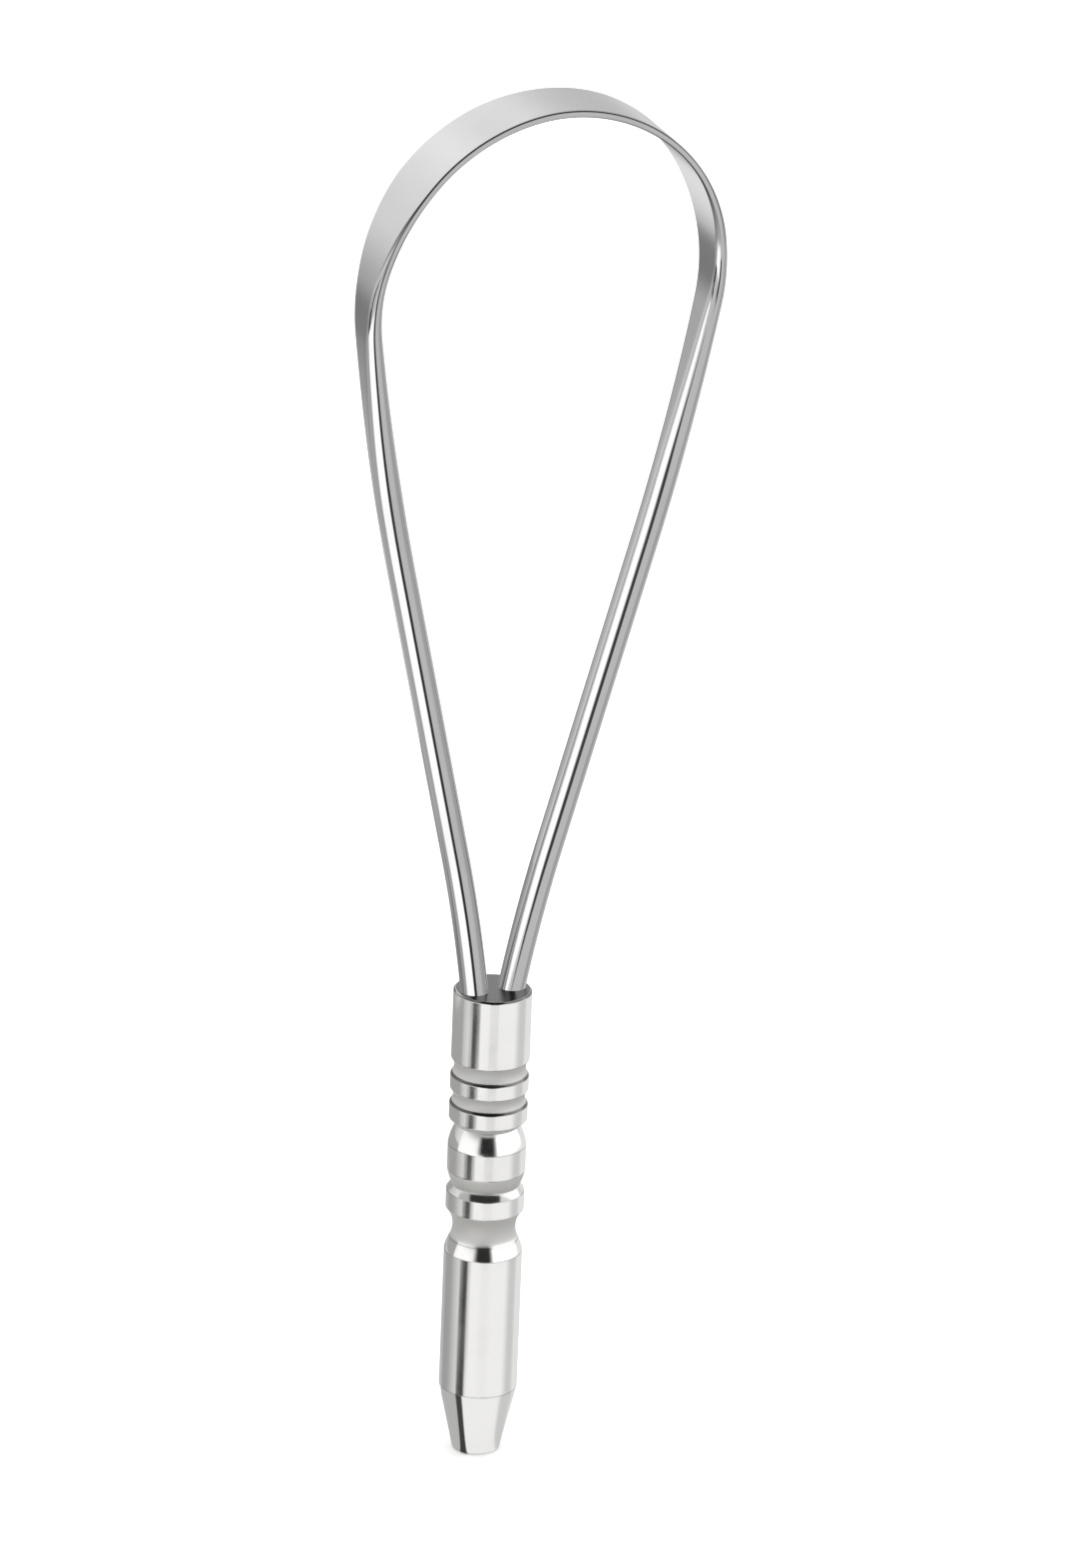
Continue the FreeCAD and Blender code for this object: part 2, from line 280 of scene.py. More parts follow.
def line_object(name: str, rows: list[MarkedPoint]) -> bpy.types.Object:
    """Makes an object of points joined in order.

    Args:
        name: the object's name.
        rows: the points' places in metres, each with its attributes, which are numbers or vectors.

    Returns:
        The object, linked into the scene.
    """
    mesh = bpy.data.meshes.new(name)
    edges = [(number, number + 1) for number in range(len(rows) - 1)]
    mesh.from_pydata([place for place, _ in rows], edges, [])
    for mark, sample in rows[0][1].items():
        vectors = isinstance(sample, Vector)
        values = [marks[mark] for _, marks in rows]
        attribute = mesh.attributes.new(mark.value, "FLOAT_VECTOR" if vectors else "FLOAT", "POINT")
        flat = [part for value in values for part in value] if vectors else values
        attribute.data.foreach_set("vector" if vectors else "value", flat)
    return linked(name, mesh)


def sheet_object(name: str, corners: list[Vector], material: bpy.types.Material) -> bpy.types.Object:
    """Makes an object of one flat face.

    Args:
        name: the object's name.
        corners: the face's corners in metres.
        material: the face's material.

    Returns:
        The object, linked into the scene.
    """
    mesh = bpy.data.meshes.new(name)
    mesh.from_pydata(corners, [], [tuple(range(len(corners)))])
    mesh.materials.append(material)
    return linked(name, mesh)


def settle(piece: bpy.types.Object) -> None:
    """Turns an object's modifiers into its plain mesh.

    Args:
        piece: the object.
    """
    depsgraph = bpy.context.evaluated_depsgraph_get()
    evaluated = piece.evaluated_get(depsgraph)
    mesh = bpy.data.meshes.new_from_object(evaluated, preserve_all_data_layers=True, depsgraph=depsgraph)
    piece.modifiers.clear()
    used = piece.data
    piece.data = mesh
    mesh.name = piece.name
    bpy.data.meshes.remove(used)


def run_tree(piece: bpy.types.Object, tree: bpy.types.NodeTree, values: dict[str, object]) -> None:
    """Runs a Geometry Nodes tree on an object and keeps the result as its mesh.

    Args:
        piece: the object.
        tree: the tree.
        values: what the tree's named inputs are set to.
    """
    modifier = piece.modifiers.new(tree.name, "NODES")
    modifier.node_group = tree
    keys = {item.name: item.identifier for item in tree.interface.items_tree
            if item.item_type == "SOCKET" and item.in_out == "INPUT"}
    for name, value in values.items():
        modifier[keys[name]] = value
    settle(piece)


def face_outwards(mesh: bpy.types.Mesh) -> None:
    """Turns all faces of a closed mesh round when its volume comes out negative.

    Args:
        mesh: the mesh.
    """
    volume = 0.0
    mesh.calc_loop_triangles()
    for triangle in mesh.loop_triangles:
        first, second, third = (mesh.vertices[number].co for number in triangle.vertices)
        volume += first.dot(second.cross(third))
    if volume < 0:
        mesh.flip_normals()


def even_normals(piece: bpy.types.Object, sharp_angle: float) -> None:
    """Keeps flats flat beside their small rounds, and splits the shading at sharp edges.

    Args:
        piece: the object.
        sharp_angle: the least angle of a sharp edge, in degrees.
    """
    piece.data.set_sharp_from_angle(angle=math.radians(sharp_angle))
    modifier = piece.modifiers.new("even_normals", "WEIGHTED_NORMAL")
    modifier.mode = "FACE_AREA"
    modifier.keep_sharp = True
    settle(piece)


@dataclass(frozen=True)
class RowReader:
    """Reads a line's values at the row of each grid point."""

    graph: Graph
    line: Socket
    row: Socket

    def value(self, source: Socket, kind: str) -> Socket:
        """A value of the line's point."""
        inputs = {"Geometry": self.line, "Value": source, "Index": self.row}
        return self.graph.add("GeometryNodeSampleIndex", inputs, data_type=kind, domain="POINT").outputs[0]

    def named(self, mark: Mark | Guide, kind: str = "FLOAT") -> Socket:
        """A point attribute of the line's point."""
        node = self.graph.add("GeometryNodeInputNamedAttribute", {"Name": mark.value}, data_type=kind)
        return self.value(node.outputs["Attribute"], kind)

    def place(self) -> Socket:
        """The place of the line's point."""
        return self.value(self.graph.add("GeometryNodeInputPosition").outputs[0], "FLOAT_VECTOR")


class ShapeTrees:
    """The Geometry Nodes trees that make the pieces from a line of points."""

    def __init__(self) -> None:
        """Builds both trees."""
        self.turning = self._turning()
        self.sweep = self._sweep()

    @staticmethod
    def _started(name: str, sizes: dict[str, str]) -> tuple[Graph, dict[str, Socket], bpy.types.NodeInputs]:
        """A tree from a line to a shape, with inputs for its sizes and its material."""
        inputs = {"Geometry": "NodeSocketGeometry", **sizes, "Material": "NodeSocketMaterial"}
        return new_group(name, "GeometryNodeTree", inputs, {"Geometry": "NodeSocketGeometry"})

    @staticmethod
    def _lattice(graph: Graph, line: Socket, columns: Socket) -> tuple[Socket, RowReader, Socket]:
        """Lays a grid that has a row for each point of a line.

        Args:
            graph: the tree's graph.
            line: the line.
            columns: the number of points in a row.

        Returns:
            The grid, what reads the line at each grid point's row, and the grid point's column.
        """
        rows = graph.add("GeometryNodeAttributeDomainSize", {"Geometry": line}).outputs["Point Count"]
        grid = graph.add("GeometryNodeMeshGrid", {"Vertices X": rows, "Vertices Y": columns})
        index = graph.add("GeometryNodeInputIndex").outputs[0]
        reader = RowReader(graph, line, graph.whole("DIVIDE_FLOOR", index, columns))
        return grid.outputs["Mesh"], reader, graph.whole("MODULO", index, columns)

    @staticmethod
    def _moved(graph: Graph, shape: Socket, place: Socket) -> Socket:
        """A shape whose points lie at new places."""
        return graph.add("GeometryNodeSetPosition", {"Geometry": shape, "Position": place}).outputs[0]

    @staticmethod
    def _stored(graph: Graph, shape: Socket, mark: Mark, value: Socket, kind: str = "FLOAT") -> Socket:
        """A shape whose points carry an attribute."""
        inputs = {"Geometry": shape, "Name": mark.value, "Value": value}
        return graph.add("GeometryNodeStoreNamedAttribute", inputs, data_type=kind, domain="POINT").outputs[0]

    @staticmethod
    def _close(graph: Graph, shape: Socket, material: Socket, leave: bpy.types.NodeInputs) -> None:
        """Ends a tree: closes seams and poles, shades smooth, realizes and sets the material.

        Args:
            graph: the tree's graph.
            shape: the shape.
            material: the material's input.
            leave: the inputs of the tree's output node.
        """
        merged = graph.add("GeometryNodeMergeByDistance", {"Geometry": shape, "Distance": MERGE_DISTANCE})
        smooth = graph.add("GeometryNodeSetShadeSmooth", {"Geometry": merged.outputs[0]})
        real = graph.add("GeometryNodeRealizeInstances", {"Geometry": smooth.outputs[0]})
        dressed = graph.add("GeometryNodeSetMaterial", {"Geometry": real.outputs[0], "Material": material})
        graph.feed(leave["Geometry"], dressed.outputs[0])

    def _turning(self) -> bpy.types.NodeTree:
        """Turns a half outline about Z.

        Returns:
            The tree.
        """
        graph, entry, leave = self._started("turned_piece", {"Turn Steps": "NodeSocketInt"})
        steps = entry["Turn Steps"]
        grid, reader, column = self._lattice(graph, entry["Geometry"], graph.whole("ADD", steps, 1))
        share = graph.math("FRACT", graph.math("DIVIDE", column, steps))
        inputs = {"Vector": reader.place(), "Angle": graph.math("MULTIPLY", share, math.tau)}
        turned = graph.add("ShaderNodeVectorRotate", inputs, rotation_type="Z_AXIS").outputs[0]
        shape = self._moved(graph, grid, turned)
        for mark in TURNED_MARKS:
            shape = self._stored(graph, shape, mark, reader.named(mark))
        self._close(graph, shape, entry["Material"], leave)
        return graph.tree

    def _sweep(self) -> bpy.types.NodeTree:
        """Carries a rounded rectangle along a line; it is a circle where its flat sides have no length.

        Returns:
            The tree.
        """
        sizes = {"Corner Steps": "NodeSocketInt", "Flat Way": "NodeSocketVector"}
        graph, entry, leave = self._started("swept_wire", sizes)
        steps = entry["Corner Steps"]
        quarter_points = graph.whole("ADD", steps, 1)
        around = graph.whole("MULTIPLY", quarter_points, 4)
        grid, reader, column = self._lattice(graph, entry["Geometry"], graph.whole("ADD", around, 1))
        column = graph.whole("MODULO", column, around)
        quarter = graph.whole("DIVIDE_FLOOR", column, quarter_points)
        step = graph.math("DIVIDE", graph.whole("MODULO", column, quarter_points), steps)
        angle = graph.math("MULTIPLY", graph.math("ADD", quarter, step), QUARTER_TURN)
        middle = graph.math("MULTIPLY", graph.math("ADD", quarter, 0.5), QUARTER_TURN)
        corner = reader.named(Guide.CORNER)

        def reach(wave: str, flat: Guide) -> Socket:
            """Distance of a section point from the line, along one of the section's two axes.

            Args:
                wave: the Math operation that gives an angle's share along the axis.
                flat: the attribute with half the flat side's length along the axis.

            Returns:
                The distance.
            """
            side = graph.math("SIGN", graph.math(wave, middle))
            flat_part = graph.math("MULTIPLY", side, reader.named(flat))
            return graph.math("MULTIPLY_ADD", graph.math(wave, angle), corner, flat_part)

        outward, flatwise = reach("COSINE", Guide.HALF_THICK), reach("SINE", Guide.HALF_FLAT)
        side_part = graph.scaled(reader.named(Guide.SIDE, "FLOAT_VECTOR"), outward)
        offset = graph.vector("ADD", side_part, graph.scaled(entry["Flat Way"], flatwise))
        shape = self._moved(graph, grid, graph.vector("ADD", reader.place(), offset))
        # Painted shade: a dark line is painted along the middle of each rounded corner on the wire's front
        # side, where the flat head's corners are sharp.
        front = graph.math("LESS_THAN", graph.math("SINE", middle), 0.0)
        bulge = graph.math("SINE", graph.math("MULTIPLY", step, math.pi))
        line_share = graph.math("MINIMUM", graph.math("MULTIPLY", bulge, CORNER_SHADE_LINE_SHARE), 1.0)
        painted_line = graph.math("MULTIPLY", reader.named(Mark.EDGE), front)
        shape = self._stored(graph, shape, Mark.EDGE, graph.math("MULTIPLY", painted_line, line_share))
        wire_place = graph.combined(reader.named(Guide.ALONG), outward, flatwise)
        shape = self._stored(graph, shape, Mark.PLACE, wire_place, "FLOAT_VECTOR")
        self._close(graph, shape, entry["Material"], leave)
        return graph.tree


@dataclass(frozen=True)
class Step:
    """One step of the turned outline, from the point before it.

    It ends length higher and at the given radius. Its marks say how much of the hollows' satin finish
    it has, whose colour is partly painted shade, after which polished length that starts and over which
    length it fades in, over which length at its start a dark line of painted shade runs and how dark that is,
    and how much painted shade darkens it on the collar's top.
    """

    length: float
    radius: float
    bend: Bend = Bend.STRAIGHT
    bend_radius: float = 0.0
    hollow: float = 0.0
    fade: float = 0.0
    polished: float = 0.0
    painted_shade_foot: float = 0.0
    painted_shade_strength: float = 1.0
    heat: float = 0.0

    def marks(self, along: float) -> dict[Enum, object]:
        """Marks of one point of the step.

        Args:
            along: the point's distance from the step's start.

        Returns:
            The values of all marks of a turned piece.
        """
        dark = along < self.painted_shade_foot
        grown = min(max(along - self.polished, 0.0) / self.fade, 1.0) if self.fade else 1.0
        return {Mark.HOLLOW: 0.0 if dark else self.hollow * grown, Mark.EDGE: dark * self.painted_shade_strength,
                Mark.HEAT: self.heat}


class Outline:
    """A half outline of lines and arcs whose corners are rounded."""

    # Guard points stand this many roundings from the ends of a straight edge.
    GUARD_ROUNDINGS = 2
    # A guard point or a rounding stays within the first or the last of so many equal parts of an edge.
    EDGE_PARTS = 3
    FEWEST_ARC_BITS = 6

    def __init__(self, rounding: float, arc_step: float) -> None:
        """Starts an empty outline on the axis.

        Args:
            rounding: length taken from each side of a corner, in millimetres.
            arc_step: longest straight bit of an arc, in millimetres.
        """
        self.rounding = rounding
        self.arc_step = arc_step
        self.here = Vector((0.0, 0.0))
        self.edges: list[tuple[list[Vector], Step]] = []

    def add(self, step: Step) -> None:
        """Adds a line or an arc from the last point.

        Args:
            step: the step that the line or arc takes.
        """
        last = Vector((step.radius, self.here.y + step.length))
        straight = step.bend is Bend.STRAIGHT
        self.edges.append((self._line(last) if straight else self._arc(last, step), step))
        self.here = last

    def _line(self, last: Vector) -> list[Vector]:
        """A straight edge from the last point, with guard points near its ends.

        Args:
            last: where the edge ends.

        Returns:
            The edge's points.
        """
        length = (last - self.here).length
        guard = min(self.GUARD_ROUNDINGS * self.rounding, length / self.EDGE_PARTS) / length
        return [self.here.lerp(last, share) for share in (0.0, guard, 0.5, 1 - guard, 1.0)]

    def _arc(self, last: Vector, step: Step) -> list[Vector]:
        """An arc from the last point.

        Args:
            last: where the arc ends.
            step: the step, which has the arc's radius and says which way it curves.

        Returns:
            The arc's points.
        """
        chord = last - self.here
        radius, way = step.bend_radius, step.bend.value
        left = Vector((-chord.y, chord.x)).normalized()
        reach = math.sqrt(max(radius ** 2 - (chord.length / 2) ** 2, 0.0))
        centre = (self.here + last) / 2 + left * (way * reach)
        sweep = 2 * math.asin(min(chord.length / 2 / radius, 1.0)) * way
        count = max(self.FEWEST_ARC_BITS, math.ceil(abs(sweep) * radius / self.arc_step))
        turns = [Matrix.Rotation(sweep * part / count, 2) for part in range(count + 1)]
        return [centre + turn @ (self.here - centre) for turn in turns]

    @staticmethod
    def _cut(points: list[Vector], length: float) -> list[Vector]:
        """Takes a length from the start of a line of points.

        Args:
            points: the line's points.
            length: the length.

        Returns:
            The points of what is left.
        """
        left = length
        for number in range(len(points) - 1):
            bit = (points[number + 1] - points[number]).length
            if bit > left:
                return [points[number].lerp(points[number + 1], left / bit)] + points[number + 1:]
            left -= bit
        return points[-1:]

    @staticmethod
    def _corner(start: Vector, corner: Vector, stop: Vector, steps: int) -> list[MarkedPoint]:
        """Rounds a corner; its round carries a dark line of painted shade.

        Args:
            start: where the round starts.
            corner: the corner itself.
            stop: where the round ends.
            steps: straight bits of the round.

        Returns:
            The points between the start and the end, each with its marks.
        """
        marks = {Mark.HOLLOW: 0.0, Mark.EDGE: CORNER_PAINTED_SHADE, Mark.HEAT: 0.0}
        shares = [part / steps for part in range(1, steps)]
        return [(start.lerp(corner, share).lerp(corner.lerp(stop, share), share), marks) for share in shares]

    def rounded(self, corner_steps: int) -> list[MarkedPoint]:
        """The whole outline with its corners rounded.

        Args:
            corner_steps: straight bits of each rounded corner.

        Returns:
            The points, each with its marks.
        """
        trims = []
        for points, _ in self.edges:
            length = sum((second - first).length for first, second in zip(points, points[1:]))
            trims.append(min(self.rounding, length / self.EDGE_PARTS))
        rows: list[MarkedPoint] = []
        last = len(self.edges) - 1
        for number, (points, step) in enumerate(self.edges):
            kept = points if number == 0 else self._cut(points, trims[number])
            if number < last:
                kept = self._cut(kept[::-1], trims[number])[::-1]
            rows += [(point, step.marks((point - points[0]).length)) for point in kept]
            if number < last:
                stop = self._cut(self.edges[number + 1][0], trims[number + 1])[0]
                rows += self._corner(kept[-1], points[-1], stop, corner_steps)
        return rows


@dataclass(frozen=True)
class FootFit:
    """How the wire's feet stand in the collar, in millimetres and degrees.

    Reach is a foot's distance from the axis at the collar's top. The feet slant away from each other, and
    the whole loop leans to its front.
    """

    reach: float = 2.6
    slant: float = 9.0
    lean: float = 3.8


@dataclass
class ReplacedPart:
    """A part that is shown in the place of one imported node."""

    node: str
    slot: str

    def dress(self, piece: bpy.types.Object) -> None:
        """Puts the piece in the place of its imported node.

        Args:
            piece: the finished piece.
        """
        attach(piece, "root")
        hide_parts(self.node)


@dataclass
class TurnedHandle(ReplacedPart):
    """The turned steel handle, from its tip up; lengths in millimetres, angles in degrees."""

    node: str = "handle"
    slot: str = "handle_steel"
    fit: FootFit = FootFit()
    land_radius: float = 5.0
    tip_radius: float = 3.05
    tip_chamfer: float = 0.2
    taper_length: float = 8.9
    barrel_length: float = 18.8
    flare_length: float = 1.65
    flare_radius: float = 4.4
    flare_arc: float = 8.8
    waist_length: float = 4.15
    waist_arc: float = 3.76
    waist_fade: float = 0.7
    lower_ring_length: float = 2.45
    shoulder_length: float = 0.95
    shoulder_arc: float = 8.0
    shoulder_polished: float = 0.95
    shoulder_fade: float = 0.15
    bead_neck_radius: float = 4.33
    bead_round_length: float = 1.95
    bead_arc: float = 6.0
    bead_length: float = 3.45
    dome_length: float = 2.7
    dome_arc: float = 8.0
    root_radius: float = 4.0
    root_length: float = 0.85
    middle_ring_length: float = 2.0
    middle_groove_width: float = 2.1
    upper_ring_length: float = 1.8
    upper_groove_width: float = 2.35
    groove_depth: float = 0.42
    collar_length: float = 9.3
    collar_chamfer: float = 0.24
    bore_radius: float = 1.83
    bore_depth: float = 3.5
    bore_overrun: float = 1.0
    drill_point_angle: float = 118.0
    rounding: float = 0.06
    arc_step: float = 0.07
    # Painted shade: the width of the dark line along each groove's lower edge, and how dark the line on the
    # collar's top chamfer is.
    groove_painted_shade: float = 0.43
    rim_painted_shade: float = 0.9
    corner_steps: int = 6
    turn_steps: int = 160
    bore_steps: int = 48
    sharp_angle: float = 40.0

    def groove(self, width: float) -> Step:
        """A satin groove of this width and the common depth, with a dark line of painted shade along its
        lower edge.
        """
        radius = ((width / 2) ** 2 + self.groove_depth ** 2) / (2 * self.groove_depth)
        return Step(width, self.land_radius, Bend.HOLLOW, radius, hollow=1.0, painted_shade_foot=self.groove_painted_shade)

    def steps(self) -> list[Step]:
        """Lists the steps of the whole outline.

        Returns:
            The steps, from the middle of the tip to the middle of the collar's top.
        """
        land, chamfer = self.land_radius, self.collar_chamfer
        return [
            Step(0.0, self.tip_radius - self.tip_chamfer),
            Step(self.tip_chamfer, self.tip_radius),
            Step(self.taper_length - self.tip_chamfer, land),
            Step(self.barrel_length, land),
            Step(self.flare_length, self.flare_radius, Bend.CONVEX, self.flare_arc),
            Step(self.waist_length, land, Bend.HOLLOW, self.waist_arc, hollow=1.0, fade=self.waist_fade),
            Step(self.lower_ring_length, land),
            Step(self.shoulder_length, self.bead_neck_radius, Bend.HOLLOW, self.shoulder_arc, hollow=1.0,
                 polished=self.shoulder_polished, fade=self.shoulder_fade),
            Step(self.bead_round_length, land, Bend.CONVEX, self.bead_arc, hollow=1.0),
            Step(self.bead_length, land),
            Step(self.dome_length, self.root_radius, Bend.CONVEX, self.dome_arc),
            Step(self.root_length, land, hollow=1.0),
            Step(self.middle_ring_length, land),
            self.groove(self.middle_groove_width),
            Step(self.upper_ring_length, land),
            self.groove(self.upper_groove_width),
            Step(self.collar_length - chamfer, land),
            # The collar's top chamfer carries a dark line of painted shade.
            Step(chamfer, land - chamfer, painted_shade_foot=2 * chamfer, painted_shade_strength=self.rim_painted_shade),
            # The collar's top face is painted dark as shade.
            Step(0.0, 0.0, heat=1.0),
        ]

    @property
    def height(self) -> float:
        """Height of the collar's top face."""
        return sum(step.length for step in self.steps())

    def _cutter(self, side: int, trees: ShapeTrees) -> bpy.types.Object:
        """A drill-shaped body for one of the slanted bores.

        Args:
            side: 1 for the right bore and -1 for the left one.
            trees: the Geometry Nodes trees.

        Returns:
            The body, where it cuts.
        """
        point = self.bore_radius / math.tan(math.radians(self.drill_point_angle / 2))
        profile = ((0.0, -self.bore_depth - point), (self.bore_radius, -self.bore_depth),
                   (self.bore_radius, self.bore_overrun), (0.0, self.bore_overrun))
        unmarked = dict.fromkeys(TURNED_MARKS, 0.0)
        rows = [(Vector((across, 0.0, up)) * MM, unmarked) for across, up in profile]
        cutter = line_object(f"bore_cutter_{side}", rows)
        run_tree(cutter, trees.turning, {"Turn Steps": self.bore_steps})
        lean = Matrix.Rotation(math.radians(self.fit.lean), 4, "X")
        slant = Matrix.Rotation(math.radians(side * self.fit.slant), 4, "Y")
        reach = Matrix.Translation((side * self.fit.reach * MM, 0.0, 0.0))
        cutter.data.transform(Matrix.Translation((0.0, 0.0, self.height * MM)) @ lean @ reach @ slant)
        face_outwards(cutter.data)
        return cutter

    def _paint_top_shade(self, mesh: bpy.types.Mesh) -> None:
        """Marks every point of the collar's top for its painted dark shade, those of the bores' rims too.

        Args:
            mesh: the handle's mesh.
        """
        top = self.height * MM - MERGE_DISTANCE
        tint = mesh.attributes[Mark.HEAT.value].data
        for vertex in mesh.vertices:
            tint[vertex.index].value = float(vertex.co.z >= top)

    def build(self, trees: ShapeTrees, material: bpy.types.Material) -> bpy.types.Object:
        """Turns the handle and drills its two bores.

        Args:
            trees: the Geometry Nodes trees.
            material: the handle's steel.

        Returns:
            The finished piece.
        """
        outline = Outline(self.rounding, self.arc_step)
        for step in self.steps():
            outline.add(step)
        rows = [(Vector((point.x, 0.0, point.y)) * MM, marks)
                for point, marks in outline.rounded(self.corner_steps)]
        piece = line_object("turned_handle", rows)
        run_tree(piece, trees.turning, {"Turn Steps": self.turn_steps, "Material": material})
        face_outwards(piece.data)
        cutters = [self._cutter(side, trees) for side in (-1, 1)]
        for cutter in cutters:
            cut = piece.modifiers.new(cutter.name, "BOOLEAN")
            cut.operation, cut.solver, cut.object = "DIFFERENCE", "EXACT", cutter
        settle(piece)
        for cutter in cutters:
            bpy.data.meshes.remove(cutter.data)
        self._paint_top_shade(piece.data)
        even_normals(piece, self.sharp_angle)
        piece.visible_glossy = False
        return piece


class Knots:
    """A smooth curve through values at places, without overshoot between them."""

    def __init__(self, places: list[float], values: list[float]) -> None:
        """Finds the slope at each place.

        Args:
            places: the places, in rising order.
            values: the values there.
        """
        self.places, self.values = places, values
        slopes = [(high - low) / (right - left) for left, right, low, high
                  in zip(places, places[1:], values, values[1:])]
        self.slopes = [0.0]
        for before, after in zip(slopes, slopes[1:]):
            same_way = before * after > 0
            self.slopes.append(2 * before * after / (before + after) if same_way else 0.0)
        self.slopes.append(0.0)

    def at(self, place: float) -> float:
        """Reads the curve, which is level before its first place and after its last.

        Args:
            place: where it is read.

        Returns:
            The value there.
        """
        if place <= self.places[0]:
            return self.values[0]
        if place >= self.places[-1]:
            return self.values[-1]
        number = max(index for index, start in enumerate(self.places) if start <= place)
        span = self.places[number + 1] - self.places[number]
        part = (place - self.places[number]) / span
        rest = 1 - part
        start, stop = self.values[number], self.values[number + 1]
        leave, arrive = self.slopes[number] * span, self.slopes[number + 1] * span
        return (start * (1 + 2 * part) * rest ** 2 + leave * part * rest ** 2
                + stop * part ** 2 * (3 - 2 * part) - arrive * part ** 2 * rest)


@dataclass(frozen=True)
class Section:
    """The wire's section at a place, in millimetres.

    The place is counted along the wire from the middle of the head. The corner is the radius of the
    section's rounded edges.
    """

    place: float
    width: float
    thickness: float
    corner: float


WIRE_SECTIONS = (
    Section(0.0, 8.25, 0.88, 0.17),
    Section(10.0, 8.65, 0.86, 0.17),
    Section(20.0, 8.7, 0.85, 0.18),
    Section(28.0, 7.55, 1.2, 0.42),
    Section(36.0, 5.75, 1.85, 0.92),
    Section(46.0, 4.5, 2.6, 1.3),
    Section(66.0, 3.5, 3.5, 1.75),
)


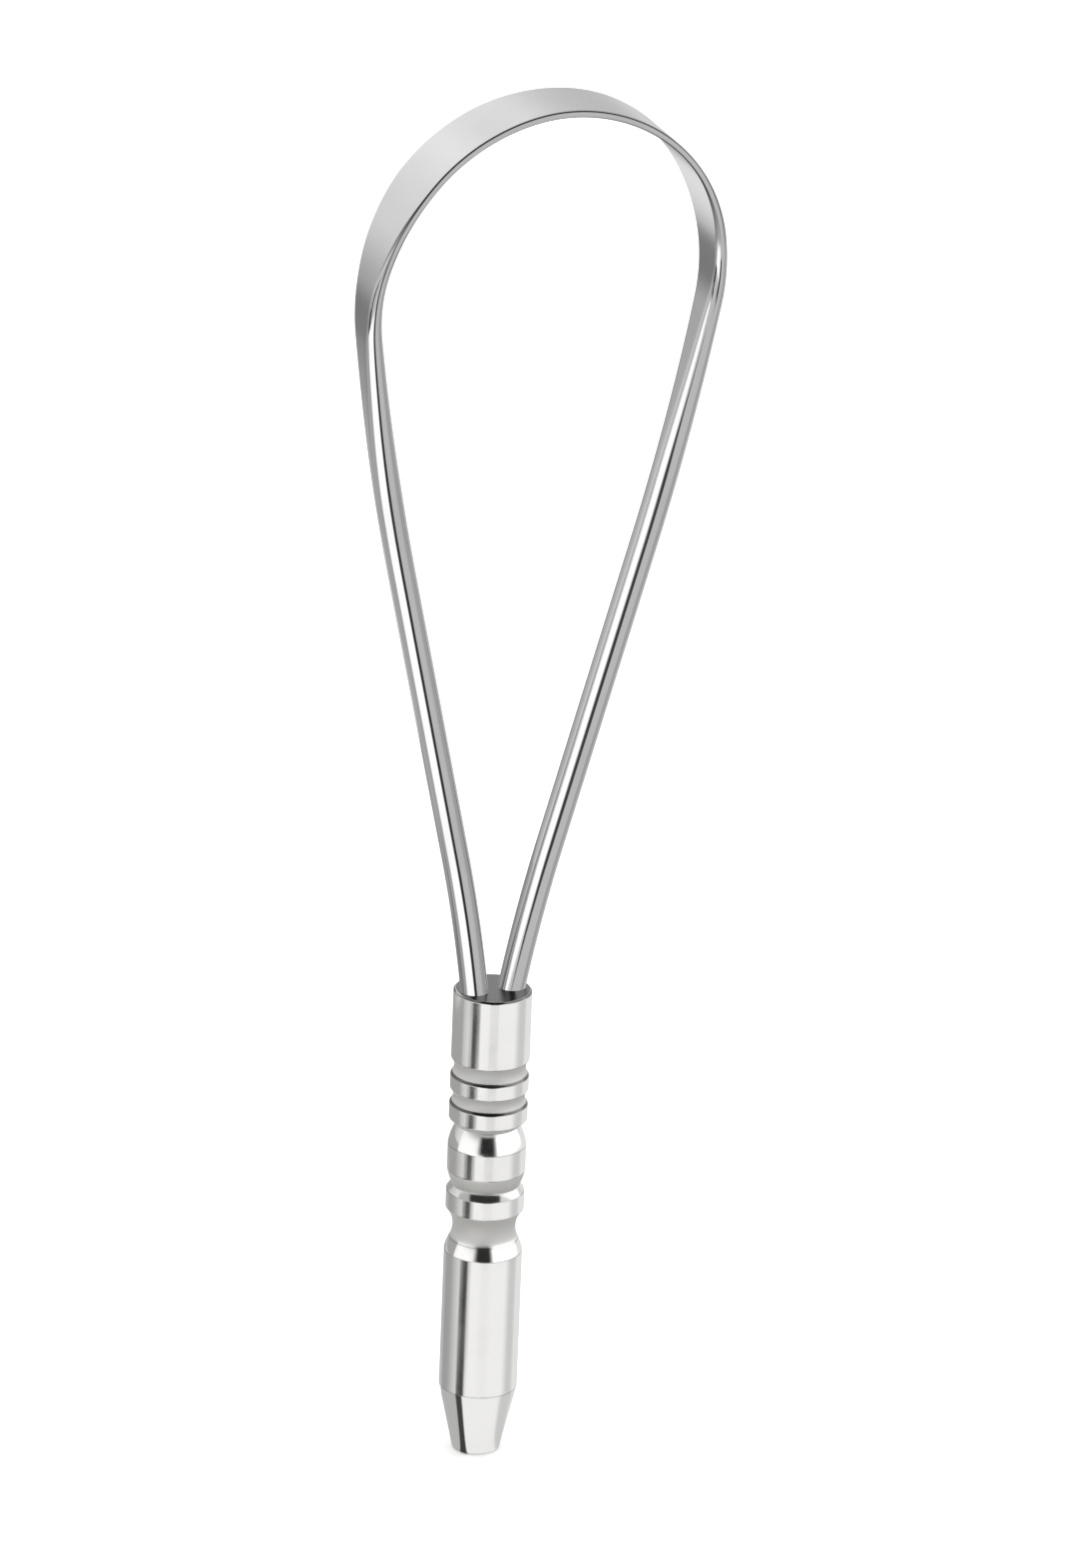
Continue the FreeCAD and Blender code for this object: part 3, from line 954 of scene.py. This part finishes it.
@dataclass
class ScraperLoop(ReplacedPart):
    """The wire loop, round in its legs and rolled flat over its head; lengths in millimetres."""

    node: str = "scraper_loop"
    slot: str = "loop_steel"
    fit: FootFit = FootFit()
    foot_height: float = field(kw_only=True)
    foot_depth: float = 3.2
    foot_bend_radius: float = 228.0
    leg_angle: float = 14.0
    leg_length: float = 41.4
    upper_leg_radius: float = 346.0
    upper_leg_angle: float = 8.6
    shoulder_bend_radius: float = 26.2
    head_angle: float = -31.6
    sections: tuple[Section, ...] = WIRE_SECTIONS
    leg_step: float = 2.4
    bend_step: float = 0.6
    fewest_bend_steps: int = 4
    # Painted shade: the dark line on the wire's corners fades out as their radius grows by this much over the
    # head's.
    painted_line_fade: float = 0.6
    corner_steps: int = 12
    sharp_angle: float = 50.0

    def half_line(self) -> list[WirePoint]:
        """Lays out the right half of the centre line.

        Returns:
            Its points, as across, up and the wire's angle from straight up.
        """
        angles = (self.fit.slant, self.leg_angle, self.upper_leg_angle, self.head_angle)
        foot, leg, upper, head = (math.radians(angle) for angle in angles)
        reach, depth = self.fit.reach, self.foot_depth
        line = [(reach - depth * math.sin(foot), -depth * math.cos(foot), foot), (reach, 0.0, foot)]
        line += self._bend(line[-1], leg, self.foot_bend_radius)
        line += self._leg(line[-1])
        line += self._bend(line[-1], upper, self.upper_leg_radius)
        line += self._bend(line[-1], head, self.shoulder_bend_radius)
        return line + self._bend(line[-1], -QUARTER_TURN, line[-1][0] / math.cos(head))

    def _leg(self, start: WirePoint) -> list[WirePoint]:
        """Lays out the straight part of a leg.

        Args:
            start: the point before it.

        Returns:
            Its points after the start.
        """
        across, up, turn = start
        count = math.ceil(self.leg_length / self.leg_step)
        lengths = [self.leg_length * part / count for part in range(1, count + 1)]
        return [(across + length * math.sin(turn), up + length * math.cos(turn), turn) for length in lengths]

    def _bend(self, start: WirePoint, stop: float, radius: float) -> list[WirePoint]:
        """Lays out one bend.

        Args:
            start: the point before it.
            stop: the wire's angle at its end.
            radius: its radius.

        Returns:
            Its points after the start.
        """
        across, up, angle = start
        count = max(self.fewest_bend_steps, math.ceil(abs(stop - angle) * radius / self.bend_step))
        way = 1 if stop > angle else -1
        points = []
        for part in range(1, count + 1):
            turn = angle + (stop - angle) * part / count
            points.append((across + way * radius * (math.cos(angle) - math.cos(turn)),
                           up + way * radius * (math.sin(turn) - math.sin(angle)), turn))
        return points

    def _rows(self, line: list[WirePoint], lean: Matrix) -> list[MarkedPoint]:
        """Gives each point of the centre line its section.

        Args:
            line: the centre line from foot to foot.
            lean: the turn that leans the loop.

        Returns:
            The points in metres with what the sweep reads, and a section of no size at either end.
        """
        lengths = [0.0]
        for first, second in zip(line, line[1:]):
            lengths.append(lengths[-1] + math.hypot(second[0] - first[0], second[1] - first[1]))
        places = [section.place for section in self.sections]
        widths, thicknesses, corners = (
            Knots(places, [getattr(section, size) for section in self.sections])
            for size in ("width", "thickness", "corner"))
        foot = Vector((0.0, 0.0, self.foot_height))
        rows: list[MarkedPoint] = []
        for (across, up, turn), length in zip(line, lengths):
            place = abs(length - lengths[-1] / 2)
            corner = corners.at(place)
            rows.append(((foot + lean @ Vector((across, 0.0, up))) * MM, {
                Guide.SIDE: lean @ Vector((math.cos(turn), 0.0, -math.sin(turn))),
                Guide.HALF_FLAT: (widths.at(place) / 2 - corner) * MM,
                Guide.HALF_THICK: (thicknesses.at(place) / 2 - corner) * MM,
                Guide.CORNER: corner * MM,
                Guide.ALONG: length * MM,
                # Painted shade along the sharp corners of the flat head.
                Mark.EDGE: max(0.0, 1.0 - (corner - self.sections[0].corner) / self.painted_line_fade),
            }))
        no_size = dict.fromkeys((Guide.HALF_FLAT, Guide.HALF_THICK, Guide.CORNER), 0.0)
        ends = [(point, {**marks, **no_size}) for point, marks in (rows[0], rows[-1])]
        return [ends[0], *rows, ends[1]]

    def build(self, trees: ShapeTrees, material: bpy.types.Material) -> bpy.types.Object:
        """Sweeps the wire from one foot over the head to the other.

        Args:
            trees: the Geometry Nodes trees.
            material: the loop's steel.

        Returns:
            The finished piece.
        """
        right = self.half_line()
        left = [(-across, up, -turn - math.pi) for across, up, turn in right[-2::-1]]
        lean = Matrix.Rotation(math.radians(self.fit.lean), 3, "X")
        piece = line_object("scraper_wire", self._rows(right + left, lean))
        flat_way = lean @ Vector((0.0, 1.0, 0.0))
        values = {"Corner Steps": self.corner_steps, "Flat Way": flat_way, "Material": material}
        run_tree(piece, trees.sweep, values)
        face_outwards(piece.data)
        even_normals(piece, self.sharp_angle)
        return piece


class Effects:
    """Shader node groups that the finishes share."""

    # How much a turning mark changes on its way round, and the detail of all fine marks.
    RING_WANDER = 0.7
    GRAIN_DETAIL = 3.0
    # Smudges and specks show where a noise rises through these ranges.
    SMUDGE_DETAIL = 3.0
    SMUDGE_RANGE = (0.42, 0.68)
    SPECKS_PER_SMUDGE = 14.0
    SPECK_DETAIL = 1.0
    SPECK_RANGE = (0.70, 0.78)

    def __init__(self) -> None:
        """Builds the groups."""
        self.rings = self._rings()
        self.strands = self._strands()
        self.handling = self._handling()

    def _rings(self) -> bpy.types.NodeTree:
        """Fine turning marks that run round Z.

        Returns:
            The group.
        """
        inputs = {"Coordinate": "NodeSocketVector", "Marks per Metre": "NodeSocketFloat"}
        outputs = {"Marks": "NodeSocketFloat"}
        graph, entry, leave = new_group("turning_marks", "ShaderNodeTree", inputs, outputs)
        across, along, up = graph.parts(entry["Coordinate"])
        flat = graph.combined(across, along)
        radius = graph.vector("LENGTH", flat, result="Value")
        run = graph.math("MULTIPLY", graph.math("ADD", radius, up), entry["Marks per Metre"])
        way = graph.scaled(graph.vector("NORMALIZE", flat), self.RING_WANDER)
        place = graph.vector("ADD", way, graph.combined(0.0, 0.0, run))
        graph.feed(leave["Marks"], graph.noise(place, 1.0, self.GRAIN_DETAIL))
        return graph.tree

    def _strands(self) -> bpy.types.NodeTree:
        """Fine drawing marks that run along a wire.

        Returns:
            The group.
        """
        inputs = {"Place": "NodeSocketVector", "Marks per Metre": "NodeSocketFloat",
                  "Stretch": "NodeSocketFloat"}
        outputs = {"Marks": "NodeSocketFloat"}
        graph, entry, leave = new_group("drawing_marks", "ShaderNodeTree", inputs, outputs)
        along, outward, flatwise = graph.parts(entry["Place"])
        place = graph.combined(graph.math("DIVIDE", along, entry["Stretch"]), outward, flatwise)
        graph.feed(leave["Marks"], graph.noise(place, entry["Marks per Metre"], self.GRAIN_DETAIL))
        return graph.tree

    def _handling(self) -> bpy.types.NodeTree:
        """Soft smudges and small specks left by handling.

        Returns:
            The group.
        """
        inputs = {"Coordinate": "NodeSocketVector", "Smudges per Metre": "NodeSocketFloat"}
        outputs = {"Smudge": "NodeSocketFloat", "Speck": "NodeSocketFloat"}
        graph, entry, leave = new_group("handling_marks", "ShaderNodeTree", inputs, outputs)
        cloud = graph.noise(entry["Coordinate"], entry["Smudges per Metre"], self.SMUDGE_DETAIL)
        graph.feed(leave["Smudge"], graph.ramp(cloud, *self.SMUDGE_RANGE))
        fine = graph.math("MULTIPLY", entry["Smudges per Metre"], self.SPECKS_PER_SMUDGE)
        grains = graph.noise(entry["Coordinate"], fine, self.SPECK_DETAIL)
        graph.feed(leave["Speck"], graph.ramp(grains, *self.SPECK_RANGE))
        return graph.tree


@dataclass(frozen=True)
class Satin:
    """The duller finish of turned hollows; its darker colour is painted shade in the hollows, and it is
    lighter the more it faces up, as painted light from above.
    """

    # The colour facing down, darker as painted shade in the hollows.
    colour: Colour
    # The colour facing up, lighter as painted light from above.
    painted_lit_colour: Colour
    roughness: float
    metal: float
    facing_range: Pair = (-0.6, 0.6)

    def shade(self, graph: Graph) -> Socket:
        """Adds the finish's colour, lighter by the upward part of the surface's normal as painted light from
        above.

        Args:
            graph: the material's graph.

        Returns:
            The colour.
        """
        normal = graph.add("ShaderNodeNewGeometry").outputs["Normal"]
        painted_light_share = graph.ramp(graph.parts(normal)[2], *self.facing_range)
        return graph.tint(painted_light_share, opaque(self.colour), opaque(self.painted_lit_colour))


@dataclass(frozen=True)
class PaintedTopShade:
    """Painted shade: the dark colour painted over the collar's top, and its roughness."""

    colour: Colour
    roughness: float


@dataclass(frozen=True)
class MetalFinish:
    """A metal that is polished but for its satin and its top; the satin's colour holds painted shade and
    painted light, the top's colour and the lines along edges are painted shade; colours are linear.
    """

    name: str
    colour: Colour
    worn_colour: Colour
    roughness: float
    smudged_roughness: float
    marks_per_metre: float
    mark_height: float
    smudges_per_metre: float
    grain: Grain = Grain.TURNED
    grain_stretch: float = 60.0
    grain_gloss: float = 0.04
    wear: float = 0.5
    # The colour of the dark lines of painted shade along edges and creases.
    painted_shade_colour: Colour | None = None
    # The satin of the hollows, its colour partly painted shade and painted light.
    satin: Satin | None = None
    # The dark colour painted as shade over the collar's top.
    heat: PaintedTopShade | None = None

    def _marks(self, graph: Graph, effects: Effects) -> Socket:
        """Adds the fine marks of the finish.

        Args:
            graph: the material's graph.
            effects: the shared node groups.

        Returns:
            The marks, between 0 and 1.
        """
        inputs: dict[str, object] = {"Marks per Metre": self.marks_per_metre}
        if self.grain is Grain.DRAWN:
            inputs |= {"Place": graph.mark(Mark.PLACE, "Vector"), "Stretch": self.grain_stretch}
            return graph.group(effects.strands, inputs).outputs["Marks"]
        inputs["Coordinate"] = graph.place()
        return graph.group(effects.rings, inputs).outputs["Marks"]

    def material(self, effects: Effects) -> bpy.types.Material:
        """Builds the material.

        Args:
            effects: the shared node groups.

        Returns:
            The material.
        """
        material, graph = new_material(self.name)
        marks = self._marks(graph, effects)
        inputs = {"Coordinate": graph.place(), "Smudges per Metre": self.smudges_per_metre}
        handling = graph.group(effects.handling, inputs).outputs
        smudge = handling["Smudge"]
        worn = graph.math("MULTIPLY", graph.math("ADD", smudge, handling["Speck"]), self.wear)
        colour = graph.tint(worn, opaque(self.colour), opaque(self.worn_colour))
        dull = graph.math("MULTIPLY_ADD", smudge, self.smudged_roughness - self.roughness, self.roughness)
        dull = graph.math("MULTIPLY_ADD", graph.math("SUBTRACT", marks, 0.5), self.grain_gloss, dull)
        metal: object = 1.0
        # The satin hollows: duller, darker as painted shade and lighter facing up as painted light.
        if self.satin:
            hollow = graph.mark(Mark.HOLLOW)
            colour = graph.tint(hollow, colour, self.satin.shade(graph))
            dull = graph.math("MULTIPLY_ADD", hollow, self.satin.roughness - self.roughness, dull)
            metal = graph.math("MULTIPLY_ADD", hollow, self.satin.metal - 1.0, 1.0)
        # Painted shade darkens the collar's top and dulls it.
        if self.heat:
            heat = graph.mark(Mark.HEAT)
            colour = graph.tint(heat, colour, opaque(self.heat.colour))
            dull = graph.math("MULTIPLY_ADD", heat, self.heat.roughness - self.roughness, dull)
        # Dark lines of painted shade along edges and creases.
        if self.painted_shade_colour:
            colour = graph.tint(graph.mark(Mark.EDGE), colour, opaque(self.painted_shade_colour))
        bump = graph.add("ShaderNodeBump", {"Strength": 1.0, "Distance": self.mark_height, "Height": marks})
        inputs = {"Base Color": colour, "Metallic": metal, "Roughness": dull, "Normal": bump.outputs[0]}
        shader = graph.add("ShaderNodeBsdfPrincipled", inputs)
        graph.add("ShaderNodeOutputMaterial", {"Surface": shader.outputs[0]})
        return material


HANDLE_FINISH = MetalFinish(
    name="turned_steel", colour=(0.955, 0.95, 0.935), worn_colour=(0.90, 0.89, 0.87),
    roughness=0.10, smudged_roughness=0.14,
    marks_per_metre=5000.0, mark_height=0.0000004, smudges_per_metre=120.0,
    # The colour of the handle's dark lines of painted shade.
    painted_shade_colour=(0.2, 0.198, 0.19),
    # Satin whose darker colour is painted shade and whose top colour is painted light from above.
    satin=Satin(colour=(0.47, 0.465, 0.45), painted_lit_colour=(0.78, 0.775, 0.76), roughness=0.55, metal=0.4),
    # The collar's top, painted dark as shade.
    heat=PaintedTopShade(colour=(0.16, 0.16, 0.16), roughness=0.3))
LOOP_FINISH = MetalFinish(
    name="wire_steel", colour=(0.53, 0.53, 0.53), worn_colour=(0.49, 0.49, 0.49),
    roughness=0.06, smudged_roughness=0.09,
    marks_per_metre=2500.0, mark_height=0.0000004, smudges_per_metre=90.0,
    # The near-black colour of the dark line of painted shade along the head's front corners.
    grain=Grain.DRAWN, painted_shade_colour=(0.03, 0.03, 0.03))
BRAZE_FINISH = MetalFinish(
    name="silver_braze", colour=(0.60, 0.585, 0.54), worn_colour=(0.44, 0.425, 0.38),
    roughness=0.28, smudged_roughness=0.45,
    marks_per_metre=6000.0, mark_height=0.000002, smudges_per_metre=900.0)


@dataclass(frozen=True)
class Card:
    """A soft-edged patch of the studio round the object, placed by direction.

    Azimuth is counted from the camera's side, positive to the camera's right; all angles in degrees.
    """

    azimuth: float
    elevation: float
    half_width: float
    half_height: float
    side_softness: float
    end_softness: float
    brightness: float


STUDIO_CARDS = (
    # Right of the front, and the dip beside it.
    Card(150.0, -22.0, 36.0, 22.0, 14.0, 14.0, 0.78),
    Card(95.0, -26.0, 20.0, 10.0, 20.0, 8.0, 0.60),
    # White front below the horizon, the plain left beside it and the ground far below.
    Card(14.0, -33.0, 68.0, 27.0, 28.0, 8.0, 0.89),
    Card(-110.0, -33.0, 62.0, 27.0, 7.0, 8.0, 0.66),
    Card(0.0, -81.0, 180.0, 19.0, 10.0, 10.0, 0.40),
    # Left and back: a dark band and what lies above and below it.
    Card(-135.0, -20.0, 48.0, 8.0, 44.0, 9.0, 0.34),
    Card(-160.0, -36.0, 24.0, 9.0, 10.0, 14.0, 1.20),
    Card(-70.0, 44.0, 46.0, 18.0, 20.0, 16.0, 0.45),
    Card(-148.0, 20.0, 30.0, 21.0, 40.0, 18.0, 1.42),
    # White cards to the left and the right of the camera.
    Card(-60.0, 4.0, 40.0, 20.0, 56.0, 20.0, 1.05),
    Card(75.0, 14.0, 46.0, 19.0, 18.0, 16.0, 1.5),
    # Dark space round and above the camera.
    Card(0.0, 60.0, 56.0, 23.0, 12.0, 3.0, 0.03),
    Card(2.0, 13.5, 25.0, 19.5, 18.0, 3.5, 0.02),
    # Bright strips on the left front, one below the other, each with a dark strip to its right.
    Card(-31.0, -9.5, 20.0, 6.5, 10.0, 4.0, 2.0),
    Card(8.0, -17.3, 12.5, 3.6, 6.0, 1.2, 0.08),
    Card(-26.0, -40.0, 34.0, 7.5, 10.0, 4.0, 1.9),
    Card(20.0, -34.5, 11.5, 5.5, 5.0, 2.0, 0.06),
    # Upright dark edge of the front, a little further left lower down.
    Card(-46.0, -21.0, 12.0, 1.85, 8.0, 0.5, 0.05),
    Card(-55.5, -27.6, 12.5, 4.85, 8.0, 0.5, 0.05),
)

# The upper half of the grey panel beside the handle, by azimuth alone.
PANEL_CARDS = (
    Card(-60.0, 0.0, 58.0, 90.0, 66.0, 1.0, 0.74),
)
# The ground close round the tip, by azimuth alone: the right side seen from the axis, the left side from
# a point beside it.
TIP_RIGHT_CARDS = (
    Card(95.0, 0.0, 28.0, 90.0, 20.0, 1.0, 0.60),
    Card(160.0, 0.0, 40.0, 90.0, 14.0, 1.0, 0.72),
)
TIP_LEFT_CARDS = (
    Card(-126.0, 0.0, 62.0, 90.0, 6.0, 1.0, 0.46),
    Card(-61.0, 0.0, 9.5, 90.0, 5.0, 1.0, 0.05),
)


def level_ways(azimuth: float) -> tuple[Vector, Vector]:
    """Level directions as seen by someone who faces the object.

    Args:
        azimuth: where they stand, in degrees round Z from -Y towards +X.

    Returns:
        The way to their right and the way from the object to them.
    """
    turn = math.radians(azimuth)
    return Vector((math.cos(turn), math.sin(turn), 0.0)), Vector((math.sin(turn), -math.cos(turn), 0.0))


def square(reach: float, height: float) -> list[Vector]:
    """Corners of a level square round Z."""
    return [Vector((across * reach, along * reach, height))
            for across, along in ((-1, -1), (1, -1), (1, 1), (-1, 1))]


@dataclass
class Studio:
    """The plain room: a pale floor, soft light from above and what the steel mirrors; lengths in metres."""

    camera_azimuth: float
    floor_reach: float = 8.0
    floor_height: float = -0.00002
    floor_colour: Colour = (0.93, 0.93, 0.925)
    floor_cloud_colour: Colour = (0.916, 0.916, 0.911)
    floor_clouds_per_metre: float = 3.0
    floor_cloud_detail: float = 2.0
    floor_roughness: float = 0.9
    floor_glow: float = 0.3
    room_colour: Colour = (0.955, 0.955, 0.95)
    base_brightness: float = 0.66
    sun_strength: float = 3.5
    sun_spread: float = 80.0
    tip_ground_reach: float = 0.016
    tip_ground_height: float = 0.00001
    tip_brightness: float = 0.88
    tip_side_right: float = 0.00113
    tip_side_near: float = 0.0012
    panel_azimuth: float = -130.0
    panel_distance: float = 0.045
    panel_half_width: float = 0.04
    panel_low: float = 0.022
    panel_split: float = 0.044
    panel_high: float = 0.075
    panel_brightness: float = 0.37
    cards: tuple[Card, ...] = STUDIO_CARDS
    panel_cards: tuple[Card, ...] = PANEL_CARDS
    tip_right_cards: tuple[Card, ...] = TIP_RIGHT_CARDS
    tip_left_cards: tuple[Card, ...] = TIP_LEFT_CARDS

    def build(self) -> None:
        """Makes the floor, the light and the surroundings."""
        group = self._card_group()
        self._floor()
        self._sun()
        self._tip_ground(group)
        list(self._panels(group))
        self._surroundings(group)

    def _floor(self) -> bpy.types.Object:
        """Makes the floor; the steel mirrors the surroundings and not it.

        Returns:
            The floor.
        """
        material, graph = new_material("pale_floor")
        cloud = graph.noise(graph.place(), self.floor_clouds_per_metre, self.floor_cloud_detail)
        colour = graph.tint(cloud, opaque(self.floor_colour), opaque(self.floor_cloud_colour))
        inputs = {"Base Color": colour, "Roughness": self.floor_roughness, "Emission Color": colour,
                  "Emission Strength": self.floor_glow}
        shader = graph.add("ShaderNodeBsdfPrincipled", inputs)
        graph.add("ShaderNodeOutputMaterial", {"Surface": shader.outputs[0]})
        floor = sheet_object("floor", square(self.floor_reach, self.floor_height), material)
        floor.visible_glossy = False
        return floor

    @staticmethod
    def _mirrored_only(name: str, corners: list[Vector], brightness: Glow) -> bpy.types.Object:
        """Makes a glowing four-cornered card that only the steel mirrors.

        Args:
            name: the card's name.
            corners: its corners in metres.
            brightness: a number, or a function that adds nodes to a graph and returns a socket.

        Returns:
            The card, linked into the scene.
        """
        material, graph = new_material(name)
        strength = brightness(graph) if callable(brightness) else brightness
        glow = graph.add("ShaderNodeEmission", {"Color": (1.0, 1.0, 1.0, 1.0), "Strength": strength})
        graph.add("ShaderNodeOutputMaterial", {"Surface": glow.outputs[0]})
        card = sheet_object(name, corners, material)
        card.visible_camera = card.visible_diffuse = card.visible_shadow = False
        return card

    def _tip_ground(self, group: bpy.types.NodeTree) -> bpy.types.Object:
        """Makes the ground close round the tip, as the taper mirrors it.

        Args:
            group: the group that lays one card.

        Returns:
            The ground's card.
        """
        right, near = level_ways(self.camera_azimuth)
        side_point = right * self.tip_side_right + near * self.tip_side_near

        def brightness(graph: Graph) -> Socket:
            """Lays the right cards out from the tip's middle and the left ones from the side point.

            Args:
                graph: the card's graph.

            Returns:
                The brightness.
            """
            place = graph.place()
            below = self._layered(graph, place, group, self.tip_right_cards, self.tip_brightness)
            beside = graph.vector("SUBTRACT", place, side_point)
            return self._layered(graph, beside, group, self.tip_left_cards, below)

        corners = square(self.tip_ground_reach, self.tip_ground_height)
        return self._mirrored_only("tip_ground", corners, brightness)

    def _panels(self, group: bpy.types.NodeTree) -> list[bpy.types.Object]:
        """Makes a grey panel beside the handle, its upper half lighter to the front.

        Args:
            group: the group that lays one card.

        Returns:
            The panel's two halves.
        """
        right, away = level_ways(self.camera_azimuth + self.panel_azimuth)
        middle, along = away * self.panel_distance, right * self.panel_half_width

        def faded(graph: Graph) -> Socket:
            """The panel's cards, laid out by the direction from the handle's axis."""
            return self._layered(graph, graph.place(), group, self.panel_cards, self.panel_brightness)

        halves = (("lower_panel", self.panel_low, self.panel_split, self.panel_brightness),
                  ("upper_panel", self.panel_split, self.panel_high, faded))
        made = []
        for name, foot, head, brightness in halves:
            low, high = Vector((0.0, 0.0, foot)), Vector((0.0, 0.0, head))
            ends = (middle - along, middle + along)
            corners = [ends[0] + low, ends[1] + low, ends[1] + high, ends[0] + high]
            made.append(self._mirrored_only(name, corners, brightness))
        return made

    def _sun(self) -> bpy.types.Object:
        """Makes a wide soft light overhead that the steel does not mirror.

        Returns:
            The light.
        """
        light = bpy.data.lights.new("soft_overhead", "SUN")
        light.angle = math.radians(self.sun_spread)
        light.energy = self.sun_strength
        sun = linked("soft_overhead", light)
        sun.visible_glossy = False
        return sun

    @staticmethod
    def _card_group() -> bpy.types.NodeTree:
        """Lays one card over the brightness below it.

        Returns:
            The group, whose inputs for the card have the names of the card's values.
        """
        names = ["seen_azimuth", "seen_elevation", "below"] + [value.name for value in fields(Card)]
        graph, entry, leave = new_group(
            "studio_card", "ShaderNodeTree", dict.fromkeys(names, "NodeSocketFloat"),
            {"Result": "NodeSocketFloat"})
        turn = graph.math("SUBTRACT", entry["seen_azimuth"], entry["azimuth"])
        turn = graph.math("WRAP", turn, 180.0, -180.0)
        rise = graph.math("SUBTRACT", entry["seen_elevation"], entry["elevation"])
        shares = []
        for distance, half, softness in ((turn, "half_width", "side_softness"),
                                         (rise, "half_height", "end_softness")):
            fade = graph.math("MULTIPLY", entry[softness], 0.5)
            inner = graph.math("SUBTRACT", entry[half], fade)
            outer = graph.math("ADD", entry[half], fade)
            shares.append(graph.ramp(graph.math("ABSOLUTE", distance), inner, outer, 1.0, 0.0))
        change = graph.math("SUBTRACT", entry["brightness"], entry["below"])
        share = graph.math("MULTIPLY", *shares)
        graph.feed(leave["Result"], graph.math("MULTIPLY_ADD", change, share, entry["below"]))
        return graph.tree

    def _layered(self, graph: Graph, direction: Socket, group: bpy.types.NodeTree,
                 cards: tuple[Card, ...], base: float | Socket) -> Socket:
        """Lays cards over each other by direction.

        Args:
            graph: the tree that gets the nodes.
            direction: a vector from the middle of the cards.
            group: the group that lays one card.
            cards: the cards, the lowest first.
            base: the brightness below all cards.

        Returns:
            The brightness in that direction.
        """
        unit = graph.vector("NORMALIZE", direction)
        across, ahead = (graph.vector("DOT_PRODUCT", unit, way, result="Value")
                         for way in level_ways(self.camera_azimuth))
        seen = {"seen_azimuth": graph.math("DEGREES", graph.math("ARCTAN2", across, ahead)),
                "seen_elevation": graph.math("DEGREES", graph.math("ARCSINE", graph.parts(unit)[2]))}
        brightness = base
        for card in cards:
            inputs = {**seen, **asdict(card), "below": brightness}
            brightness = graph.group(group, inputs).outputs["Result"]
        return brightness

    def _surroundings(self, group: bpy.types.NodeTree) -> None:
        """Makes the studio as the steel mirrors it; the camera itself sees a plain pale room.

        Args:
            group: the group that lays one card.
        """
        world = bpy.data.worlds.new("studio")
        bpy.context.scene.world = world
        world.use_nodes = True
        world.cycles_visibility.diffuse = False
        world.cycles.sampling_method = "NONE"
        graph = Graph(world.node_tree)
        graph.tree.nodes.clear()
        direction = graph.add("ShaderNodeTexCoord").outputs["Generated"]
        brightness = self._layered(graph, direction, group, self.cards, self.base_brightness)
        colour = graph.add("ShaderNodeCombineColor", {0: brightness, 1: brightness, 2: brightness}).outputs[0]
        mirrored = graph.add("ShaderNodeBackground", {"Color": colour})
        room = graph.add("ShaderNodeBackground", {"Color": opaque(self.room_colour)})
        seen = graph.add("ShaderNodeLightPath").outputs["Is Camera Ray"]
        shown = graph.add("ShaderNodeMixShader", {0: seen, 1: mirrored.outputs[0], 2: room.outputs[0]})
        graph.add("ShaderNodeOutputWorld", {"Surface": shown.outputs[0]})


@dataclass
class PhotoCamera:
    """The camera, which sees the object from the photograph's side and fills the frame as it does."""

    azimuth: float = -25.0
    elevation: float = 22.0
    roll: float = 2.21
    distance: float = 1.5
    focal_pixels: float = 11880.0
    image_size: Pair = (1080.0, 1571.0)
    target_pixel: Pair = (493.9, 990.0)
    sensor: float = 36.0
    clip_range: Pair = (0.05, 60.0)

    def place(self, target: Vector) -> None:
        """Points the camera so that the target falls on its pixel.

        Args:
            target: the point that the camera is placed by, in metres.
        """
        turn, rise = math.radians(self.azimuth), math.radians(self.elevation)
        back = Vector((math.sin(turn) * math.cos(rise), -math.cos(turn) * math.cos(rise), math.sin(rise)))
        (width, height), (target_across, target_down) = self.image_size, self.target_pixel
        aim = Vector((target_across - width / 2, height / 2 - target_down, -self.focal_pixels))
        facing = back.to_track_quat("Z", "Y") @ Quaternion((0.0, 0.0, 1.0), math.radians(self.roll))
        data = bpy.data.cameras.new("photo_camera")
        data.sensor_width = self.sensor
        data.lens = self.focal_pixels / height * self.sensor
        data.clip_start, data.clip_end = self.clip_range
        camera = linked("photo_camera", data)
        camera.rotation_mode = "QUATERNION"
        camera.rotation_quaternion = facing @ aim.rotation_difference(Vector((0.0, 0.0, -1.0)))
        camera.location = target + back * self.distance
        bpy.context.scene.camera = camera


def main() -> None:
    """Builds the tongue scraper and its studio."""
    logging.basicConfig(level=logging.INFO, format="%(name)s: %(message)s")
    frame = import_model()
    trees, effects = ShapeTrees(), Effects()
    handle = TurnedHandle()
    loop = ScraperLoop(foot_height=handle.height)
    for part, finish in ((handle, HANDLE_FINISH), (loop, LOOP_FINISH)):
        piece = part.build(trees, finish.material(effects))
        part.dress(piece)
        LOG.info("%s stands for %s: %d faces", piece.name, part.node, len(piece.data.polygons))
    braze = BRAZE_FINISH.material(effects)
    for name in BRAZE_NODES:
        node = frame["nodes"][name]
        node.data.materials.clear()
        node.data.materials.append(braze)
        LOG.info("%s dressed", name)
    camera = PhotoCamera()
    Studio(camera.azimuth).build()
    camera.place(Vector((0.0, 0.0, handle.height * MM)))
    bpy.context.scene.view_settings.view_transform = "Standard"


if __name__ == "__main__":
    main()
